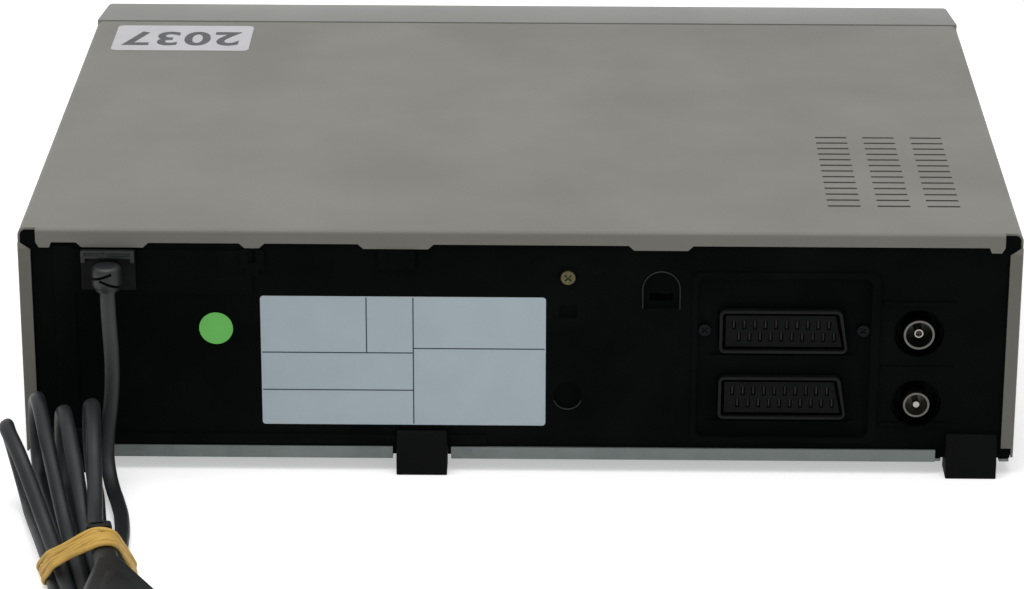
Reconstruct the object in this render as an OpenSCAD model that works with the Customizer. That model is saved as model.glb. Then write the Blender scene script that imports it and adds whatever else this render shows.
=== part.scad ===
// Video cassette recorder: steel cover on a moulded frame, rear sockets and a
// tied mains lead, with its tape deck and boards inside.
// Millimetres, +Z up, front at -Y; the feet stand on z = 0 and the case is
// centred on X and Y.

/* [Case] */
// Width over the painted cover
case_w = 360; // [350:1:440]
// Height from the underside of the bottom plate to the top of the cover
case_h = 88.5; // [88:0.5:110]
// Depth of the painted cover, rear flange to fascia joint
cover_d = 251; // [248:1:310]
// Depth of the moulded fascia in front of the cover
fascia_d = 28; // [28:1:34]
// Height of the feet under the bottom plate
foot_h = 5; // [4:0.5:8]
// How far the rear feet stand out behind the cover
rear_stand = 4; // [3:0.5:8]

/* [Sheet and walls] */
// Steel sheet of the cover
cover_t = 0.8; // [0.6:0.1:1.2]
// Steel sheet of the bottom plate
plate_t = 1; // [0.8:0.1:1.5]
// Moulded wall of the frame and the rear panel
wall_t = 2.5; // [2:0.1:3]
// Radius of the cover's shoulders
shoulder_r = 3; // [2:0.5:5]
// Outer radius of the sharp bends in the sheet
fold_r = 1.4; // [1.3:0.1:2]
// Height of the cover's rear lip
lip_h = 5.1; // [4:0.1:7]

/* [Cover vents] */
// Columns of cooling slots
vent_columns = 3; // [1:1:5]
// Slots in a column
vent_rows = 13; // [4:1:20]
// Length of a slot
vent_len = 11.9; // [8:0.1:14]
// Width of a slot
vent_w = 1.5; // [1:0.1:2.5]
// Spacing of the columns
vent_pitch_x = 18.1; // [15:0.1:22]
// Spacing of the slots in a column
vent_pitch_y = 6.4; // [4:0.1:8]

/* [Front] */
// Width of the cassette opening
slot_w = 195; // [193:0.5:198]
// Height of the cassette opening
slot_h = 33.5; // [33:0.5:36]
// Underside of the cassette opening above the bottom plate
slot_z = 51.5; // [50:0.5:53]
// Travel of a button
button_travel = 1; // [0.5:0.1:1.5]
// Gap round a moving part in its opening
play = 0.3; // [0.2:0.05:0.5]
// Height of the display window
window_h = 26; // [20:1:28]
// Width of the display window
window_w = 124; // [100:1:140]

/* [Rear] */
// Width of a 21-way socket's metal shell
scart_w = 46.7; // [45:0.1:48]
// Height of a 21-way socket's metal shell
scart_h = 16.6; // [15:0.1:18]
// Spacing of the contacts in a row
contact_pitch = 3.81; // [3.6:0.01:4]
// Outside radius of the male aerial sleeve
aerial_r = 4.75; // [4.5:0.05:5]
// Bore radius of the female aerial centre contact
aerial_bore_r = 1.2; // [1.1:0.05:1.3]
// Width of the ruled rating plate
label_w = 103; // [90:1:105]
// Height of the ruled rating plate
label_h = 50; // [40:1:50]

/* [Tape deck] */
// Radius of the head drum
drum_r = 31; // [30:0.5:32]
// Distance between the two reels
reel_pitch = 92; // [90:1:94]
// Radius of a reel table
reel_r = 22; // [20:0.5:23]
// Travel of the cassette tray into the deck
tray_travel = 48; // [40:1:50]
// Drop of the cassette tray onto the reels
tray_drop = 15; // [10:0.5:15]
// Radial clearance of a shaft in its bore
run_gap = 0.05; // [0.02:0.01:0.09]

/* [Mains lead] */
// Width of the flat twin lead
lead_d = 5.4; // [5:0.1:6]
// Radius of the round ends of a loop
hank_r = 16.5; // [16:0.5:20]
// How far the loops reach beyond the plug's side of the band
near_run = 133; // [129:1:145]

/* [Hidden] */
$fn = 48;

// ---- case, worked out from the driving sizes
half_w = case_w / 2;
total_d = cover_d + fascia_d + rear_stand;
y_back = total_d / 2 - rear_stand;
y_joint = y_back - cover_d;
y_front = -total_d / 2;
z_base = foot_h;
z_top = foot_h + case_h;
z_floor = z_base + plate_t;
skirt_z = z_base + 2;
flange_w = 4.5;
flange_low = skirt_z + 3.5;
lip_half = half_w - 6.5;
lip_tab_h = 6.9;
// centre and width of each deeper tab along the lip
lip_tabs = [[146, 22], [96, 5.2], [44.4, 23.2], [-50.6, 19.2]];
lip_end_tab = 3.6;
seam = 0.2;
panel_y = y_back - 1;
panel_in_y = panel_y - wall_t;
inner_half = half_w - cover_t - seam;
inner_top = z_top - cover_t - seam;
wall_out = inner_half;
wall_in = wall_out - 2;

// ---- rear features, measured from the case sides or its centre
aerial_x = -half_w + 36;
aerial_high_z = z_base + 50;
aerial_low_z = z_base + 22.7;
aerial_hole_r = 9.1;
aerial_recess_r = 8;
scart_x = -half_w + 84.6;
scart_high_z = z_base + 50.4;
scart_low_z = z_base + 24.6;
scart_bay = [62.6, 62.2];
scart_bay_z = z_base + 40.2;
scart_bay_depth = 1.6;
shell_wall = 1.2;
insert_gap = 1.1;
relief_box = [19.7, 15.4];
label_x = half_w - 138;
label_z = z_base + 38;
label_r = 1.2;
dot_x = half_w - 70.4;
dot_z = z_base + 50.3;
dot_r = 6.1;
dot_t = 0.15;
panel_screw_x = -17.4;
panel_screw_z = z_base + 71.2;
pocket_x = -51;
pocket_z = z_base + 59;
hole_x = -17.5;
hole_z = z_base + 24.7;
foot_xs = [-half_w + 15.5, 35.5, half_w - 15.5];
foot_w = 18.5;
foot_rise = 11;
foot_in = 8;
number_size = [56.5, 34];
number_r = 2.5;
number_x = half_w - 38.2;
number_y = y_joint + 23;

// ---- fascia and its controls
fascia_t = 2.5;
button_proud = 0.5;
fascia_y = y_front + button_proud;
fascia_draft = 2.2;
groove_w = 1.8;
groove_t = 1.2;
fascia_in_y = fascia_y + fascia_t;
slot_low = z_base + slot_z;
slot_top = slot_low + slot_h;
flap_t = 2.2;
flap_pin_r = 1.5;
flap_pin_y = fascia_y + 4;
flap_pin_z = slot_top - 2.2;
cheek_in = slot_w / 2 + 1;
window_z = z_base + 27;
board_y = fascia_y + 15;
board_t = 1.6;
switch_h = 4;
stem_end_y = board_y - switch_h - button_travel - 0.5;
side_x = half_w - 44;
row_low = z_base + 19;
row_high = z_base + 34;
// name order: power, eject, play, stop, rewind, forward, record, pause, up, down
// each is [x, z, width, height]
BUTTONS = [
    [-side_x - 12, z_base + 70, 26, 10], [-side_x + 18, z_base + 70, 18, 8],
    [side_x, row_high, 22, 9], [side_x, row_low, 22, 9],
    [side_x - 24, row_high, 18, 9], [side_x + 24, row_high, 18, 9],
    [side_x - 24, row_low, 18, 9], [side_x + 24, row_low, 18, 9],
    [side_x + 12, z_base + 76, 20, 8], [side_x + 12, z_base + 65, 20, 8]
];

// ---- tape deck
deck_z = z_base + 29;
deck_t = 1.2;
deck_top = deck_z + deck_t;
deck_half = 100.2;
deck_front = y_joint + 9;
deck_back = deck_front + 212;
deck_post_xs = [-92, 92];
deck_post_ys = [deck_front + 14, deck_back - 8];
// the deck's own places are counted from this line, its front edge plus 104
deck_y0 = deck_front + 104;
drum_at = [-3, deck_y0 + 74];
capstan_at = [58, deck_y0 + 52];
pinch_pivot = [80, deck_y0 + 60];
pinch_len = 24;
pinch_rest = 261.3;
pinch_r = 8;
reel_y = deck_y0 - 22;
idler_at = [0, deck_y0 + 14];
idler_len = 30;
idler_r = 14;
tension_at = [-80, deck_y0 + 16];
tension_pole = [-62, deck_y0 + 34];
// distance from the drum's line, and place along Y, of a guide's two ends
guide_start = [33, deck_y0 + 24];
guide_end = [45, deck_y0 + 86];
guide_slot_w = 3.8;
gear_m = 1;
cam_teeth = 32;
pinion_teeth = 12;
cam_at = [-76, deck_y0 + 90];
pinion_dir = 250;
pinion_at = cam_at + gear_m * (cam_teeth + pinion_teeth) / 2
    * [cos(pinion_dir), sin(pinion_dir)];
pin_r = 1.5;
shaft_r = 2;
tray_in = 95.3;
tray_t = 1.2;
tray_front = deck_front + 2;
tray_d = 76;
tray_z = slot_low + 0.3;
tray_h = 27.3;
slider_in = tray_in + tray_t + 0.4;
slider_t = 1;
rail_in = slider_in + slider_t + 0.3;
rail_t = 1.9;
rail_top = tray_z + tray_h + 2;
track_z = tray_z + 21;

// ---- boards
main_z = z_base + 10;
power_z = z_base + 15;
power_x0 = deck_half + 6;
power_x1 = wall_in - 7;
power_y0 = deck_y0 + 26;
power_y1 = panel_in_y - 6;

// ---- mains lead: hand-picked points from the strain relief to the table
lead_r = lead_d / 2;
// height of the lowest strands' middle
hank_z = lead_r + 0.5;
LEAD_POINTS = [
    [147.5, 144, 72.7], [147.5, 144, 66], [147.2, 144.2, 58], [146.8, 144.6, 48],
    [146.9, 145, 38], [147.6, 146.2, 29], [148.6, 148.8, 20.5], [148.7, 153.4, 12.5],
    [147.2, 159.5, 6.8], [145.2, 166, 3.9], [143.4, 172.2, hank_z], [142, 178.2, hank_z]
];
relief_x = LEAD_POINTS[0][0] + 0.1;
relief_z = LEAD_POINTS[0][2] + 5.5;
lead_sides = 10;
hank_sides = 6;
hank_centre = [147.6, 228];
hank_turn = 13;
// how far each loop reaches towards the panel, and where it lies across there
far_runs = [50, 71, 57, 61];
far_ws = [14.4, 8.2, 0.2, -10.2];
hank_loops = len(far_runs);
// where the top runs start to cross to the next column
cross_u = 68;
waist_pitch = lead_d + 0.7;
end_pitch = lead_d + 4;
waist_rise = lead_d + 0.8;
// the outermost loop leans out
lean = 12;
turn_steps = 8;
// the runs stay low under the plug
near_flat = near_run - 38;
near_mid = (near_flat + near_run) / 2;
low_stops = [-near_flat, -20, 12];
top_stops = [36, 4, -near_flat, -near_mid];
// ---- two-pin plug, 4 mm pins: collar, sleeve, then a body that widens to its face
plug_len = 74;
plug_w_max = 35.3;
plug_flat_w = 26.1;
plug_h = 13.7;
collar_len = 3.6;
neck_r = 4.5;
neck_len = 28;
flare_end = 66;
plug_pin_r = 2;
plug_pin_len = 19;
plug_pin_half = 9.3;
plug_z = hank_z + waist_rise + lead_r + plug_h / 2 + 0.45;
plug_shift = 2.4;
neck_u = -8;
// ---- rubber band, drawn round the sleeve behind the collar
band_y = 9;
band_wall = 1.4;
band_back = 6;
band_u = neck_u - collar_len - band_back - band_y / 2;

// ================================================================ helpers

// slab of a 2D XZ drawing, from y0 back to y1
module slab(y0, y1) {
    translate([0, y1, 0])
        rotate([90, 0, 0])
            linear_extrude(height = y1 - y0)
                children();
}

// polygon whose points run counter-clockwise, with its corners rounded
function inward(p, q) = let (d = (q - p) / norm(q - p)) [-d[1], d[0]];

module rounded_polygon(pts, r) {
    n = len(pts);
    corners = [for (i = [0 : n - 1])
        let (a = inward(pts[(i + n - 1) % n], pts[i]), b = inward(pts[i], pts[(i + 1) % n]))
        [pts[i] + r * (a + b) / (1 + a * b), a, b]];
    polygon([for (c = corners) each [c[0] - r * c[1], c[0] - r * c[2]]]);
    for (c = corners)
        translate(c[0])
            circle(r);
}

// outline of a plate with rounded corners
module round_rect(w, h, r) {
    square([w - 2 * r, h], center = true);
    square([w, h - 2 * r], center = true);
    for (sx = [-1, 1], sz = [-1, 1])
        translate([sx * (w / 2 - r), sz * (h / 2 - r)])
            circle(r);
}

// box between two corners
module span(low, high) {
    translate(low)
        cube(high - low);
}

// rod along Y
module rod_y(x, z, r, y0, y1) {
    translate([x, y0, z])
        rotate([-90, 0, 0])
            cylinder(h = y1 - y0, r = r);
}

// rod along X
module rod_x(y, z, r, x0, x1) {
    translate([x0, y, z])
        rotate([0, 90, 0])
            cylinder(h = x1 - x0, r = r);
}

// upright rod at a place on the deck
module rod_z(at, r, z0, z1) {
    translate([at[0], at[1], z0])
        cylinder(h = z1 - z0, r = r);
}

// cross-head screw with its head on the plane y = 0, pointing to -Y
module screw(head_r, head_h, shank_r, shank_len) {
    difference() {
        rotate([-90, 0, 0])
            cylinder(h = head_h, r = head_r);
        for (turn = [45, 135])
            rotate([0, turn, 0])
                translate([-head_r * 0.6, head_h * 0.4, -head_r * 0.12])
                    cube([head_r * 1.2, head_h, head_r * 0.24]);
    }
    rotate([90, 0, 0])
        cylinder(h = shank_len, r = shank_r);
}

// quarter bend of sheet along X, from the top face down to the back face
module bend_x(x0, x1, y, z, r, t) {
    intersection() {
        difference() {
            rod_x(y - r, z - r, r, x0, x1);
            rod_x(y - r, z - r, r - t, x0 - 1, x1 + 1);
        }
        span([x0, y - r, z - r], [x1, y, z]);
    }
}

// spur gear with straight-sided teeth, first tooth along +X
module gear(teeth, m, h) {
    pitch_r = teeth * m / 2;
    root_r = pitch_r - 1.15 * m;
    tip_r = pitch_r + 0.85 * m;
    root_half = 0.92 * m;
    tip_half = 0.3 * m;
    linear_extrude(height = h) {
        circle(root_r);
        for (i = [0 : teeth - 1])
            rotate(i * 360 / teeth)
                polygon([[root_r - 0.4 * m, -root_half], [root_r, -root_half],
                    [tip_r, -tip_half], [tip_r, tip_half],
                    [root_r, root_half], [root_r - 0.4 * m, root_half]]);
    }
}

// ================================================================ case

module cover_section(grow) {
    w = half_w - grow;
    top = z_top - grow;
    r = shoulder_r - grow;
    polygon([[-w, skirt_z], [w, skirt_z], [w, top - r], [w - r, top - r],
        [w - r, top], [r - w, top], [r - w, top - r], [-w, top - r]]);
    for (side = [-1, 1])
        translate([side * (w - r), top - r])
            circle(r);
}

module vents() {
    first_x = -half_w + 20.1;
    first_y = y_back - 30;
    for (i = [0 : vent_columns - 1], j = [0 : vent_rows - 1])
        translate([first_x + i * vent_pitch_x, first_y - j * vent_pitch_y, z_top - 2])
            cube([vent_len, vent_w, 4]);
}

module side_screws() {
    for (side = [-1, 1], y = [y_back - 38, y_joint + 42])
        translate([side * half_w, y, z_base + 13])
            rotate([0, 0, -side * 90])
                children();
}

module rear_lip() {
    z_low = z_top - lip_h;
    tab_low = z_top - lip_tab_h;
    end_tab_low = z_top - lip_tab_h - 0.2;
    bend_x(-lip_half, lip_half, y_back, z_top, fold_r, cover_t);
    slab(y_back - cover_t, y_back) {
        translate([-lip_half, z_low])
            square([2 * lip_half, z_top - fold_r - z_low]);
        for (tab = lip_tabs)
            polygon([[tab[0] - tab[1] / 2, tab_low], [tab[0] + tab[1] / 2, tab_low],
                [tab[0] + tab[1] / 2 + 2, z_low], [tab[0] - tab[1] / 2 - 2, z_low]]);
        for (side = [-1, 1])
            polygon([[side * (lip_half - 1.2), end_tab_low],
                [side * (lip_half - 1.2 - lip_end_tab), end_tab_low],
                [side * (lip_half - 2 - lip_end_tab), z_low], [side * lip_half, z_low]]);
    }
}

module rear_flanges() {
    for (side = [-1, 1])
        slab(y_back - cover_t, y_back)
            polygon([[side * (half_w - cover_t), flange_low],
                [side * (half_w - flange_w), flange_low],
                [side * (half_w - flange_w), z_top - 8.1],
                [side * (half_w - cover_t), z_top - 5.5]]);
}

module top_cover() {
    color("#8c8882")
        difference() {
            union() {
                difference() {
                    slab(y_joint, y_back - fold_r)
                        cover_section(0);
                    slab(y_joint - 1, y_back)
                        difference() {
                            cover_section(cover_t);
                            translate([-half_w, z_base - 10])
                                square([case_w, skirt_z - z_base + 10]);
                        }
                    span([-half_w + cover_t, y_joint - 1, z_base - 5],
                        [half_w - cover_t, y_back, skirt_z + 5]);
                }
                for (side = [-1, 1])
                    span([min(side * half_w, side * (half_w - cover_t)), y_back - fold_r, skirt_z],
                        [max(side * half_w, side * (half_w - cover_t)), y_back, z_top - shoulder_r - 2.5]);
                rear_lip();
                rear_flanges();
            }
            vents();
            side_screws()
                rotate([90, 0, 0])
                    cylinder(h = 6, r = 1.7, center = true);
        }
}

module chassis_frame() {
    front_wall_y = y_joint + 0.6;
    color("#17191a")
        difference() {
            union() {
                for (side = [-1, 1])
                    span([min(side * wall_in, side * wall_out), front_wall_y, z_floor],
                        [max(side * wall_in, side * wall_out), panel_in_y - seam, inner_top - 2]);
                span([-wall_out, front_wall_y, z_floor],
                    [wall_out, front_wall_y + 2, inner_top - 2]);
                for (side = [-1, 1], y = [y_back - 38, y_joint + 42])
                    span([min(side * (wall_in - 6), side * wall_in), y - 5, z_floor],
                        [max(side * (wall_in - 6), side * wall_in), y + 5, z_base + 19]);
            }
            span([-tray_in - 6, front_wall_y - 1, deck_z + 2],
                [tray_in + 6, front_wall_y + 3, inner_top]);
            for (side = [-1, 1])
                span([min(side * (tray_in + 14), side * (wall_in - 8)), front_wall_y - 1, z_base + 16],
                    [max(side * (tray_in + 14), side * (wall_in - 8)), front_wall_y + 3, inner_top - 12]);
            side_screws()
                rotate([90, 0, 0])
                    cylinder(h = 20, r = 1.6);
        }
}

module foot_cuts(grow) {
    for (x = foot_xs)
        span([x - foot_w / 2 - grow, y_back - foot_in - grow, 0],
            [x + foot_w / 2 + grow, y_back + 9, z_base + foot_rise + grow]);
}

// ledges under the two sockets
module bay_ledges() {
    for (z = [scart_high_z, scart_low_z])
        slab(panel_y - scart_bay_depth - 0.1, panel_y - 0.4)
            translate([scart_x - 26, z - scart_h / 2 - 2])
                square([52, 0.9]);
}

module rear_panel() {
    low = z_base + 1.4;
    corner = 1.2;
    color("#0a0c0b") {
        bay_ledges();
        difference() {
            union() {
                slab(panel_in_y, panel_y)
                    polygon([[-wall_out, low], [wall_out, low], [wall_out, inner_top - corner],
                        [wall_out - corner, inner_top], [corner - wall_out, inner_top],
                        [-wall_out, inner_top - corner]]);
                // black shoulders that fill the cover's corners
                for (side = [-1, 1])
                    span([min(side * (lip_half + 0.3), side * (wall_out - 0.5)), panel_y - 1, inner_top - 9],
                        [max(side * (lip_half + 0.3), side * (wall_out - 0.5)), y_back - 0.9, inner_top - 0.5]);
                // raised field round the lead's exit
                slab(panel_y, panel_y + 0.7)
                    translate([half_w - 84, z_base + 63.6])
                        square([64, 17]);
                // rails beside the left edge and along the bottom
                slab(panel_y, panel_y + 0.7) {
                    translate([half_w - 20, z_base + 6])
                        square([7.5, 76]);
                    translate([half_w - 168, z_base + 5.2])
                        square([140, 4]);
                }
                // frame round the sockets
                slab(panel_in_y - 3, panel_y + 0.8)
                    translate([scart_x - 0.5, scart_bay_z])
                        round_rect(scart_bay[0] + 5, scart_bay[1] + 4, 3);
                // small clips below the lip
                slab(panel_y, panel_y + 1.6) {
                    translate([37.5, z_base + 74])
                        square([13.5, 7.2]);
                    for (x = [half_w - 88.4, half_w - 82.6])
                        translate([x, z_base + 74])
                            square([3, 7]);
                    translate([half_w - 86.4, z_base + 71])
                        square([5, 5]);
                }
                // ridges beside the aerial sockets
                for (z = [z_base + 61, z_base + 36, z_base + 14])
                    slab(panel_y, panel_y + 0.7)
                        translate([aerial_x - 13, z])
                            square([26, 1.2]);
            }
            // socket bay
            slab(panel_y - scart_bay_depth, panel_y + 2)
                translate([scart_x, scart_bay_z])
                    round_rect(scart_bay[0], scart_bay[1], 3);
            for (z = [scart_high_z, scart_low_z])
                slab(panel_in_y - 5, panel_y + 2)
                    translate([scart_x, z])
                        scart_outline(play);
            for (side = [-1, 1])
                rod_y(scart_x + side * 28.6, scart_high_z + 0.2, 1.6, panel_in_y - 4, panel_y + 2);
            // aerial openings
            for (z = [aerial_high_z, aerial_low_z])
                rod_y(aerial_x, z, aerial_hole_r, panel_in_y - 1, panel_y + 2);
            // arch-topped pocket with its slot
            slab(panel_y - 1.6, panel_y + 2) {
                translate([pocket_x - 6.6, pocket_z])
                    square([13.2, 7.5]);
                translate([pocket_x, pocket_z + 7.5])
                    circle(6.6);
            }
            slab(panel_in_y - 1, panel_y)
                translate([pocket_x - 4.3, pocket_z + 2.4])
                    square([8.6, 2.9]);
            // small recesses
            slab(panel_y - 1.4, panel_y + 2)
                translate([hole_x, z_base + 57.6])
                    square([6.2, 5], center = true);
            rod_y(hole_x, hole_z, 5, panel_y - 1.6, panel_y + 2);
            rod_y(panel_screw_x, panel_screw_z, 1.6, panel_in_y - 1, panel_y + 2);
            // opening for the lead's clip
            slab(panel_in_y - 1, panel_y + 2)
                translate([relief_x, relief_z])
                    square([relief_box[0] - 3, relief_box[1] - 3], center = true);
            foot_cuts(0.2);
        }
    }
}

// pressed posts that carry the two boards and the deck
module plate_posts() {
    for (x = [-wall_in + 12, 90], y = [deck_front - 2, panel_in_y - 16])
        rod_z([x, y], 3, z_base, main_z);
    for (x = [power_x0 + 5, power_x1 - 5], y = [power_y0 + 5, power_y1 - 5])
        rod_z([x, y], 3, z_base, power_z);
    for (x = deck_post_xs, y = deck_post_ys)
        rod_z([x, y], 4, z_base, deck_z);
}

module bottom_plate() {
    edge = half_w - cover_t - 0.5;
    flange_top = z_base + 4.6;
    flange_ends = [-half_w + 28.3, half_w - 30.5];
    color("#5c6462")
        difference() {
            union() {
                span([-edge, y_joint + 0.6, z_base], [edge, y_back - cover_t, z_floor]);
                span([flange_ends[0], y_back - cover_t - 0.1, z_base],
                    [flange_ends[1], y_back, flange_top]);
                plate_posts();
            }
            foot_cuts(1.4);
            // cooling slots under the boards
            for (side = [-1, 1], j = [0 : 11])
                span([side * (half_w - 45) - 18, y_back - 60 - j * 10, z_base - 1],
                    [side * (half_w - 45) + 18, y_back - 57 - j * 10, z_floor + 1]);
        }
}

module front_feet() {
    for (side = [-1, 1])
        translate([side * (half_w - 38), y_joint + 22, 0]) {
            cylinder(h = foot_h, r = 9);
            cylinder(h = foot_h * 0.6, r = 10);
        }
}

module rear_feet() {
    for (x = foot_xs)
        translate([x - foot_w / 2, 0, 0])
            rotate([90, 0, 90])
                linear_extrude(height = foot_w)
                    polygon([[y_back - foot_in, 0], [y_back + rear_stand, 0],
                        [y_back + rear_stand, z_base + 1],
                        [y_back + 0.3, z_base + foot_rise],
                        [y_back - foot_in, z_base + foot_rise]]);
}

module feet() {
    color("#131515") {
        front_feet();
        rear_feet();
    }
}

module screws() {
    color("#a9a388") {
        translate([panel_screw_x, panel_y, panel_screw_z])
            screw(2.6, 1.7, 1.5, 8);
        for (side = [-1, 1])
            translate([scart_x + side * 28.6, panel_y - scart_bay_depth, scart_high_z + 0.2])
                screw(2.2, 1.2, 1.5, 5);
        side_screws()
            screw(3.4, 1.8, 1.5, 7);
    }
}

module rating_label() {
    color("#97a5ac")
        slab(panel_y, panel_y + 0.2)
            translate([label_x, label_z])
                round_rect(label_w, label_h, label_r);
}

module round_sticker() {
    color("#6dc45e")
        rod_y(dot_x, dot_z, dot_r, panel_y, panel_y + dot_t);
}

module number_sticker() {
    color("#c4c3c8")
        translate([number_x, number_y, z_top])
            linear_extrude(height = dot_t)
                round_rect(number_size[0], number_size[1], number_r);
}

// ================================================================ fascia

module fascia_section() {
    // side view: a nearly level top, a small front edge and a groove at the joint
    edge_r = 1.5;
    fall = 0.2;
    polygon([[y_joint, z_base - 1], [fascia_y + 2, z_base - 1], [fascia_y, z_base + 1],
        [fascia_y, z_top - fall - edge_r], [fascia_y + edge_r, z_top - fall - edge_r],
        [fascia_y + edge_r, z_top - fall], [y_joint - groove_w, z_top],
        [y_joint - groove_w, z_top - groove_t], [y_joint, z_top - groove_t]]);
    translate([fascia_y + edge_r, z_top - fall - edge_r])
        circle(edge_r);
}

module fascia_plan(r, grow) {
    w = half_w - grow;
    front_w = w - fascia_draft;
    polygon([[-w, y_joint - groove_w], [-front_w, fascia_y + r + grow], [-front_w + r, fascia_y + grow],
        [front_w - r, fascia_y + grow], [front_w, fascia_y + r + grow], [w, y_joint - groove_w]]);
    translate([-w + groove_t, y_joint - groove_w - 1])
        square([2 * (w - groove_t), groove_w + 1]);
    for (side = [-1, 1])
        translate([side * (front_w - r), fascia_y + r + grow])
            circle(r);
}

module fascia_cheeks() {
    for (side = [-1, 1])
        span([min(side * cheek_in, side * (cheek_in + 2.5)), fascia_in_y - 0.5, flap_pin_z - 8],
            [max(side * cheek_in, side * (cheek_in + 2.5)), fascia_in_y + 7, flap_pin_z + 3.4]);
}

module front_fascia() {
    corner_r = 4;
    inner_y = y_joint + 1;
    color("#949490")
        difference() {
            union() {
                difference() {
                    intersection() {
                        translate([-half_w, 0, 0])
                            rotate([90, 0, 90])
                                linear_extrude(height = case_w)
                                    fascia_section();
                        linear_extrude(height = z_top + 1)
                            fascia_plan(corner_r, 0);
                    }
                    translate([0, 0, z_base + fascia_t - 1])
                        linear_extrude(height = case_h - 2 * fascia_t - 0.4) {
                            fascia_plan(corner_r - fascia_t, fascia_t);
                            translate([-half_w + fascia_t, y_joint - 1])
                                square([case_w - 2 * fascia_t, 2]);
                        }
                }
                fascia_cheeks();
            }
            // cassette opening
            span([-slot_w / 2, fascia_y - 1, slot_low], [slot_w / 2, inner_y, slot_top]);
            rod_x(flap_pin_y, flap_pin_z, flap_pin_r + run_gap, -cheek_in - 4, cheek_in + 4);
            // display window opening
            slab(fascia_y - 1, inner_y)
                translate([0, window_z])
                    square([window_w, window_h], center = true);
            for (b = BUTTONS)
                slab(fascia_y - 1, fascia_in_y + 0.1)
                    translate([b[0], b[1]])
                        round_rect(b[2] + 2 * play, b[3] + 2 * play, 1.5 + play);
        }
}

module display_window() {
    lip = 3;
    color("#14181a") {
        slab(fascia_y + 0.2, fascia_in_y)
            translate([0, window_z])
                square([window_w - 0.4, window_h - 0.4], center = true);
        slab(fascia_in_y, fascia_in_y + 1.5)
            translate([0, window_z])
                square([window_w + lip, window_h + lip], center = true);
    }
}

module cassette_flap() {
    w = slot_w - 1;
    low = slot_low + 0.4;
    arm_w = 4;
    color("#8e8e8a") {
        span([-w / 2, fascia_y + 0.3, low], [w / 2, fascia_y + 0.3 + flap_t, slot_top - 0.6]);
        for (side = [-1, 1])
            span([min(side * (w / 2 - arm_w), side * w / 2), fascia_y + 0.3, flap_pin_z - 3],
                [max(side * (w / 2 - arm_w), side * w / 2), flap_pin_y + 1, slot_top - 0.6]);
        for (side = [-1, 1])
            rod_x(flap_pin_y, flap_pin_z, flap_pin_r, min(side * (w / 2 - 3), side * (cheek_in + 2.5)),
                max(side * (w / 2 - 3), side * (cheek_in + 2.5)));
    }
}

module push_button(i, shade) {
    b = BUTTONS[i];
    stem = 5;
    color(shade) {
        slab(y_front, fascia_in_y + 0.4)
            translate([b[0], b[1]])
                round_rect(b[2], b[3], 1.5);
        slab(fascia_in_y + 0.4, fascia_in_y + 1.4)
            translate([b[0], b[1]])
                square([b[2] + 2, b[3] + 2], center = true);
        slab(fascia_in_y + 1.4, stem_end_y)
            translate([b[0], b[1]])
                square([stem, stem], center = true);
    }
}

module power_button() { push_button(0, "#83837f"); }
module eject_button() { push_button(1, "#83837f"); }
module play_button() { push_button(2, "#83837f"); }
module stop_button() { push_button(3, "#83837f"); }
module rewind_button() { push_button(4, "#83837f"); }
module forward_button() { push_button(5, "#83837f"); }
module record_button() { push_button(6, "#a43a34"); }
module pause_button() { push_button(7, "#83837f"); }
module channel_up_button() { push_button(8, "#83837f"); }
module channel_down_button() { push_button(9, "#83837f"); }

module front_board() {
    side_edge = half_w - 6;
    low = z_base + 7;
    color("#7a5a2c") {
        slab(board_y, board_y + board_t)
            polygon([[-side_edge, low], [side_edge, low], [side_edge, z_top - 8],
                [tray_in + 8, z_top - 8], [tray_in + 8, slot_low - 5],
                [-tray_in - 8, slot_low - 5], [-tray_in - 8, z_top - 8],
                [-side_edge, z_top - 8]]);
        for (b = BUTTONS)
            slab(board_y - switch_h, board_y)
                translate([b[0], b[1]])
                    square([6, 6], center = true);
        // brackets that carry the board on the frame
        for (side = [-1, 1])
            span([side * (half_w - 20) - 4, board_y + board_t, low + 2],
                [side * (half_w - 20) + 4, y_joint + 0.6, low + 8]);
    }
}

module display_tube() {
    color("#20303a")
        span([-52, board_y - 7, window_z - 10], [52, board_y, window_z + 10]);
}

// ================================================================ rear sockets

// one end of the shell slopes, as on every 21-way socket
module scart_outline(grow) {
    w = scart_w / 2 + grow;
    h = scart_h / 2 + grow;
    slope = 2.6;
    corner_r = max(0.3, 2.2 + grow);
    rounded_polygon([[-w, -h], [w, -h], [w, h], [slope - w, h]], corner_r);
}

module scart_shell(z) {
    flange = [scart_w + 4, scart_h + 3.4];
    color("#26292a")
        difference() {
            union() {
                slab(panel_in_y - 3.2, panel_y + 0.9)
                    translate([scart_x, z])
                        scart_outline(0);
                slab(panel_in_y - 16, panel_in_y - 3.2)
                    translate([scart_x, z])
                        square(flange, center = true);
            }
            slab(panel_in_y - 5, panel_y + 2)
                translate([scart_x, z])
                    scart_outline(-shell_wall);
        }
}

module upper_scart() { scart_shell(scart_high_z); }
module lower_scart() { scart_shell(scart_low_z); }

module contact_places(z) {
    for (row = [0, 1], i = [0 : 9])
        translate([scart_x + (i - 4.75 + row / 2) * contact_pitch, 0, z + (row == 0 ? -2.35 : 2.35)])
            children();
}

module scart_inserts() {
    color("#131516")
        for (z = [scart_high_z, scart_low_z])
            difference() {
                slab(panel_in_y - 5, panel_y - 0.3)
                    translate([scart_x, z])
                        scart_outline(-shell_wall - insert_gap);
                contact_places(z)
                    slab(panel_in_y - 2, panel_y)
                        square([1.4, 3.4], center = true);
            }
}

module scart_contacts() {
    color("#b9b3a2")
        for (z = [scart_high_z, scart_low_z])
            contact_places(z)
                slab(panel_in_y - 2, panel_y - 1)
                    square([0.6, 3], center = true);
}

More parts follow.
